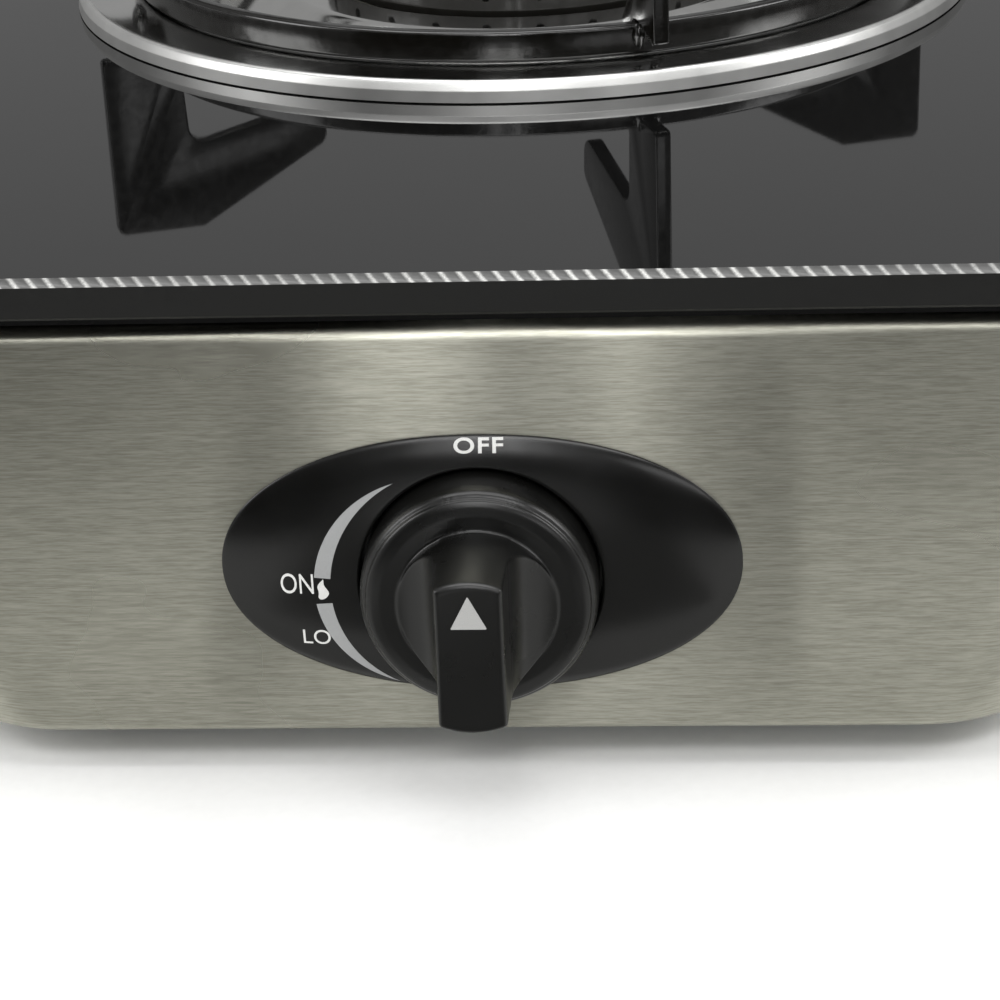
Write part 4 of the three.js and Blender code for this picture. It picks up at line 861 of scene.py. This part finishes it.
def arc_through(first, middle, last, count):
    """Points along the circle through three spots."""
    a, b, c = (np.array(p, float) for p in (first, middle, last))
    left = 2 * np.array([b - a, c - a])
    right = np.array([b @ b - a @ a, c @ c - a @ a])
    centre = np.linalg.solve(left, right)
    angles = np.unwrap([math.atan2(*(p - centre)[::-1]) for p in (a, b, c)])
    radius = np.linalg.norm(a - centre)
    turn = np.linspace(angles[0], angles[2], count)
    return centre + radius * np.stack([np.cos(turn), np.sin(turn)], 1)


def ink_shape(name, outline, ink):
    """An outline filled with ink."""
    flat = [Vector((x, z, 0)) for x, z in outline]
    count = len(flat)
    faces = [tuple(t) for t in tessellate_polygon([flat])]
    points = [(x, 0.02, z) for x, z in outline] + [(x, -0.02, z) for x, z in outline]
    faces += [tuple(i + count for i in reversed(t)) for t in faces]
    faces += [(i, (i + 1) % count, count + (i + 1) % count, count + i) for i in range(count)]
    printed(name, raw_mesh(points, faces), ink, "chassis")


def flame_crescent():
    """A crescent round the knob, thick at the middle, broken by a small flame."""
    tip, tail = (-16.0, 20.8), (-16.8, -22.4)
    outer = arc_through(tip, (-32.2, -0.3), tail, 61)
    inner = arc_through(tip, (-29.0, -0.3), tail, 61)
    upper = outer[:, 1] > 1.3
    lower = outer[:, 1] < -3.6
    for name, keep in (("mark_crescent_high", upper), ("mark_crescent_low", lower)):
        band = np.vstack([outer[keep], inner[keep][::-1]]) + np.array([0, KNOB_Z])
        ink_shape(name, band, SILVER_INK)
    turns = 2 * math.pi * np.arange(28) / 28
    width = 1.35 * np.sin(turns) * np.sin(turns / 2) ** 1.2
    height = -2.2 * np.cos(turns)
    flame = np.stack([-30.6 + width + 0.25 * np.sin(2 * height), KNOB_Z - 1.1 - height], 1)
    ink_shape("mark_flame", flame, WHITE_INK)


flame_crescent()


# ------------------------------------------------------------------ knob

def grip_outline(half_width, radius, steps=12):
    """A slab cut to a circle: two straight sides and two round ends."""
    reach = math.asin(half_width / radius)
    spots = []
    for turn in (0, math.pi):
        for k in range(steps + 1):
            angle = turn - reach + 2 * reach * k / steps
            spots.append((radius * math.sin(-angle), radius * math.cos(angle)))
    return np.array(spots)


def knob():
    """A turned skirt and boss, scooped at each side, joined to a grip bar and softened all over
    as a moulding is, by rebuilding the surface on a fine grid and smoothing it."""
    section = rounded([
        (0, KNOB_FRONT - KNOB_WEB, 0), (SKIRT_INNER, KNOB_FRONT - KNOB_WEB, 0),
        (SKIRT_INNER, 0, 0), (22.2, 0, 0.3),
        (KNOB_RADIUS, 0.8, 0.4), (KNOB_RADIUS, 8.8, 1.5), (22.6, 10.6, 1), (21.9, 11.8, 0.3),
        (21.5, 11.5, 0.2), (21.4, 12.5, 0.5), (20.4, 13.1, 1), (18.6, 13.5, 1.5),
        (16.6, KNOB_FRONT, 1), (BOSS_RADIUS, KNOB_FRONT, 0.4), (BOSS_RADIUS, BOSS_END, 0),
        (0, BOSS_END, 0)], closed=False)
    base = turned_mesh(section, 160, (0, PANEL_Y, KNOB_Z), forward=True, closed=False)
    reach = BOSS_RADIUS + 2
    scoops = [turned_mesh(
        [(0, KNOB_Z - reach), (SCOOP_RADIUS, KNOB_Z - reach), (SCOOP_RADIUS, KNOB_Z + reach),
         (0, KNOB_Z + reach)], 96,
        (side * (GRIP_HALF_WIDTH + SCOOP_RADIUS + 0.1), PANEL_Y - SCOOP_REACH, 0), closed=False)
        for side in (-1, 1)]
    base = combined(base, scoops, "DIFFERENCE")
    levels = ((KNOB_FRONT - 1, 0.2, 0.1 + BOSS_RADIUS - GRIP_RADIUS),
              (KNOB_LENGTH - 1.3, -0.2, 0), (KNOB_LENGTH - 0.5, -0.45, -0.25),
              (KNOB_LENGTH - 0.1, -0.95, -0.75))
    rows = []
    for depth, grow, shrink in levels:
        flat = grip_outline(GRIP_HALF_WIDTH + grow, GRIP_RADIUS + shrink)
        rows.append([(x, PANEL_Y - depth, KNOB_Z + z) for x, z in flat])
    bar = grid_mesh(np.array(rows), close_rows=False)
    shape = bmesh.new()
    shape.from_mesh(bar)
    bmesh.ops.holes_fill(shape, edges=shape.edges)
    shape.to_mesh(bar)
    shape.free()
    whole = combined(base, [bar], "UNION")
    whole = worked(whole, ("REMESH", {"mode": "VOXEL", "voxel_size": 0.26 * MM}),
                   ("SMOOTH", {"factor": 0.5, "iterations": 8}))
    shown("moulded_knob", whole, "knob_plastic", "knob_group", ["knob"], sharp=180)
    rise = PANEL_Y - KNOB_LENGTH
    corners = rounded([(-3.35, 6.4), (3.35, 6.4), (0, 13.0)], 0.15)
    triangle = prism_mesh(corners, 0, 0.2, lambda a, b, t: (a, rise + t, KNOB_Z + b))
    mark = shown("mark_pointer", triangle, "knob_plastic", "knob_group")
    mark.data.materials[0] = GREY_INK


knob()


# ------------------------------------------------------------------ room, light and camera

def stage_plane(name, corners, finish, seen=True):
    """A plane of the room; an unseen one shows only in reflections."""
    mesh = bpy.data.meshes.new(name)
    mesh.from_pydata(corners, [], [(0, 1, 2, 3)])
    mesh.materials.append(finish)
    plane = added(name, mesh)
    if not seen:
        plane.visible_camera = False
        plane.visible_diffuse = False
        plane.visible_shadow = False


floor_paper = dull("white_paper_sweep", "f4f4f3", "f7f7f6", 0.8, 0.9, 3.0, 0.01)
flag_cloth = dull("black_flag_cloth", "101010", "141414", 0.9, 1.0, 3.0, 0.01)
stage_plane("floor", [(-6, -6, 0), (6, -6, 0), (6, 6, 0), (-6, 6, 0)], floor_paper)

# Dark cards beyond the front of the view, which the body and the knob reflect. The gaps between
# them point at the camera's own reflection, so each leaves one pale upright band in the steel.
MIRROR = (0.041, 0.327)
CARD_NEAR, CARD_FAR, CARD_TOP = -0.33, -1.3, 0.9
CARD_SPANS = ((-0.4, -0.027), (0.0, 0.025), (0.035, 0.4))
CLOTH_FRONT = -0.36


def fanned(x, y):
    """Where the line from the mirrored camera through x on the front panel reaches y."""
    return MIRROR[0] + (x - MIRROR[0]) * (MIRROR[1] - y) / (MIRROR[1] - PANEL_Y * MM)


for index, (left, right) in enumerate(CARD_SPANS):
    near = [fanned(left, CARD_NEAR), fanned(right, CARD_NEAR)]
    far = [fanned(left, CARD_FAR), fanned(right, CARD_FAR)]
    lying = [(near[0], CARD_NEAR, 0.001), (far[0], CARD_FAR, 0.001),
             (far[1], CARD_FAR, 0.001), (near[1], CARD_NEAR, 0.001)]
    standing = [(far[0], CARD_FAR, 0.001), (far[0], CARD_FAR, CARD_TOP),
                (far[1], CARD_FAR, CARD_TOP), (far[1], CARD_FAR, 0.001)]
    stage_plane(f"lying_card_{index + 1}", lying, flag_cloth, seen=False)
    stage_plane(f"standing_card_{index + 1}", standing, flag_cloth, seen=False)


# Two grey cloths laid close in front: a small dark one for the forward faces of the knob and
# bezel, and a wide paler one that tones down the foot of the front panel.
for name, tones, half_width, near, height in (
        ("dark_cloth", ("5e5e5c", "666664"), 0.065, -0.235, 0.0015),
        ("pale_cloth", ("bebebc", "c4c4c2"), 0.45, -0.2, 0.001)):
    cloth = dull(name, *tones, 0.9, 1.0, 3.0, 0.01)
    stage_plane(name, [(-half_width, CLOTH_FRONT, height), (half_width, CLOTH_FRONT, height),
                       (half_width, near, height), (-half_width, near, height)], cloth,
                seen=False)


def softbox(name, place, aim, width, height, power):
    lamp = bpy.data.lights.new(name, "AREA")
    lamp.shape = "RECTANGLE"
    lamp.size, lamp.size_y = width, height
    lamp.energy = power
    holder = added(name, lamp)
    holder.location = place
    holder.rotation_mode = "QUATERNION"
    holder.rotation_quaternion = (Vector(aim) - Vector(place)).to_track_quat("-Z", "Y")


softbox("overhead_softbox", (0.0, 0.1, 1.7), (0, 0, 0), 1.6, 1.1, 22)
softbox("left_softbox", (-1.5, -0.5, 0.9), (0, 0, 0.05), 0.7, 0.9, 10)
softbox("right_softbox", (1.5, -0.3, 1.1), (0, 0, 0.05), 0.6, 0.9, 11)
softbox("front_softbox", (0.15, -1.15, 1.25), (0, -0.2, 0.05), 1.3, 0.35, 7)
softbox("narrow_strip", (0.004, -1.3, 0.72), (0, -0.2, 0.06), 0.035, 0.75, 1.3)
softbox("broad_strip", (-0.137, -1.3, 0.72), (0, -0.2, 0.06), 0.09, 0.75, 1.3)
softbox("low_window", (0.55, -1.2, 0.42), (0, -0.2, 0.05), 0.7, 0.22, 1.4)

world = bpy.data.worlds.new("studio")
world.use_nodes = True
world.node_tree.nodes["Background"].inputs["Color"].default_value = (0.36, 0.36, 0.36, 1)
bpy.context.scene.world = world
bpy.context.scene.view_settings.view_transform = "Standard"

CAMERA_SPOT = Vector((0.04087, -0.71232, 0.29274))
CAMERA_PITCH = 0.423254
CAMERA_YAW = 0.0706498
CAMERA_ROLL = -0.0399621

ahead = Vector((-math.sin(CAMERA_YAW) * math.cos(CAMERA_PITCH),
                math.cos(CAMERA_YAW) * math.cos(CAMERA_PITCH), -math.sin(CAMERA_PITCH)))
level = Vector((math.cos(CAMERA_YAW), math.sin(CAMERA_YAW), 0))
upright = level.cross(ahead)
right = level * math.cos(CAMERA_ROLL) + upright * math.sin(CAMERA_ROLL)
up = upright * math.cos(CAMERA_ROLL) - level * math.sin(CAMERA_ROLL)
lens = bpy.data.cameras.new("camera")
lens.lens = 108
lens.sensor_width = 36
lens.clip_start = 0.01
camera = added("camera", lens)
camera.matrix_world = Matrix((
    (right.x, up.x, -ahead.x, CAMERA_SPOT.x),
    (right.y, up.y, -ahead.y, CAMERA_SPOT.y),
    (right.z, up.z, -ahead.z, CAMERA_SPOT.z),
    (0, 0, 0, 1)))
bpy.context.scene.camera = camera
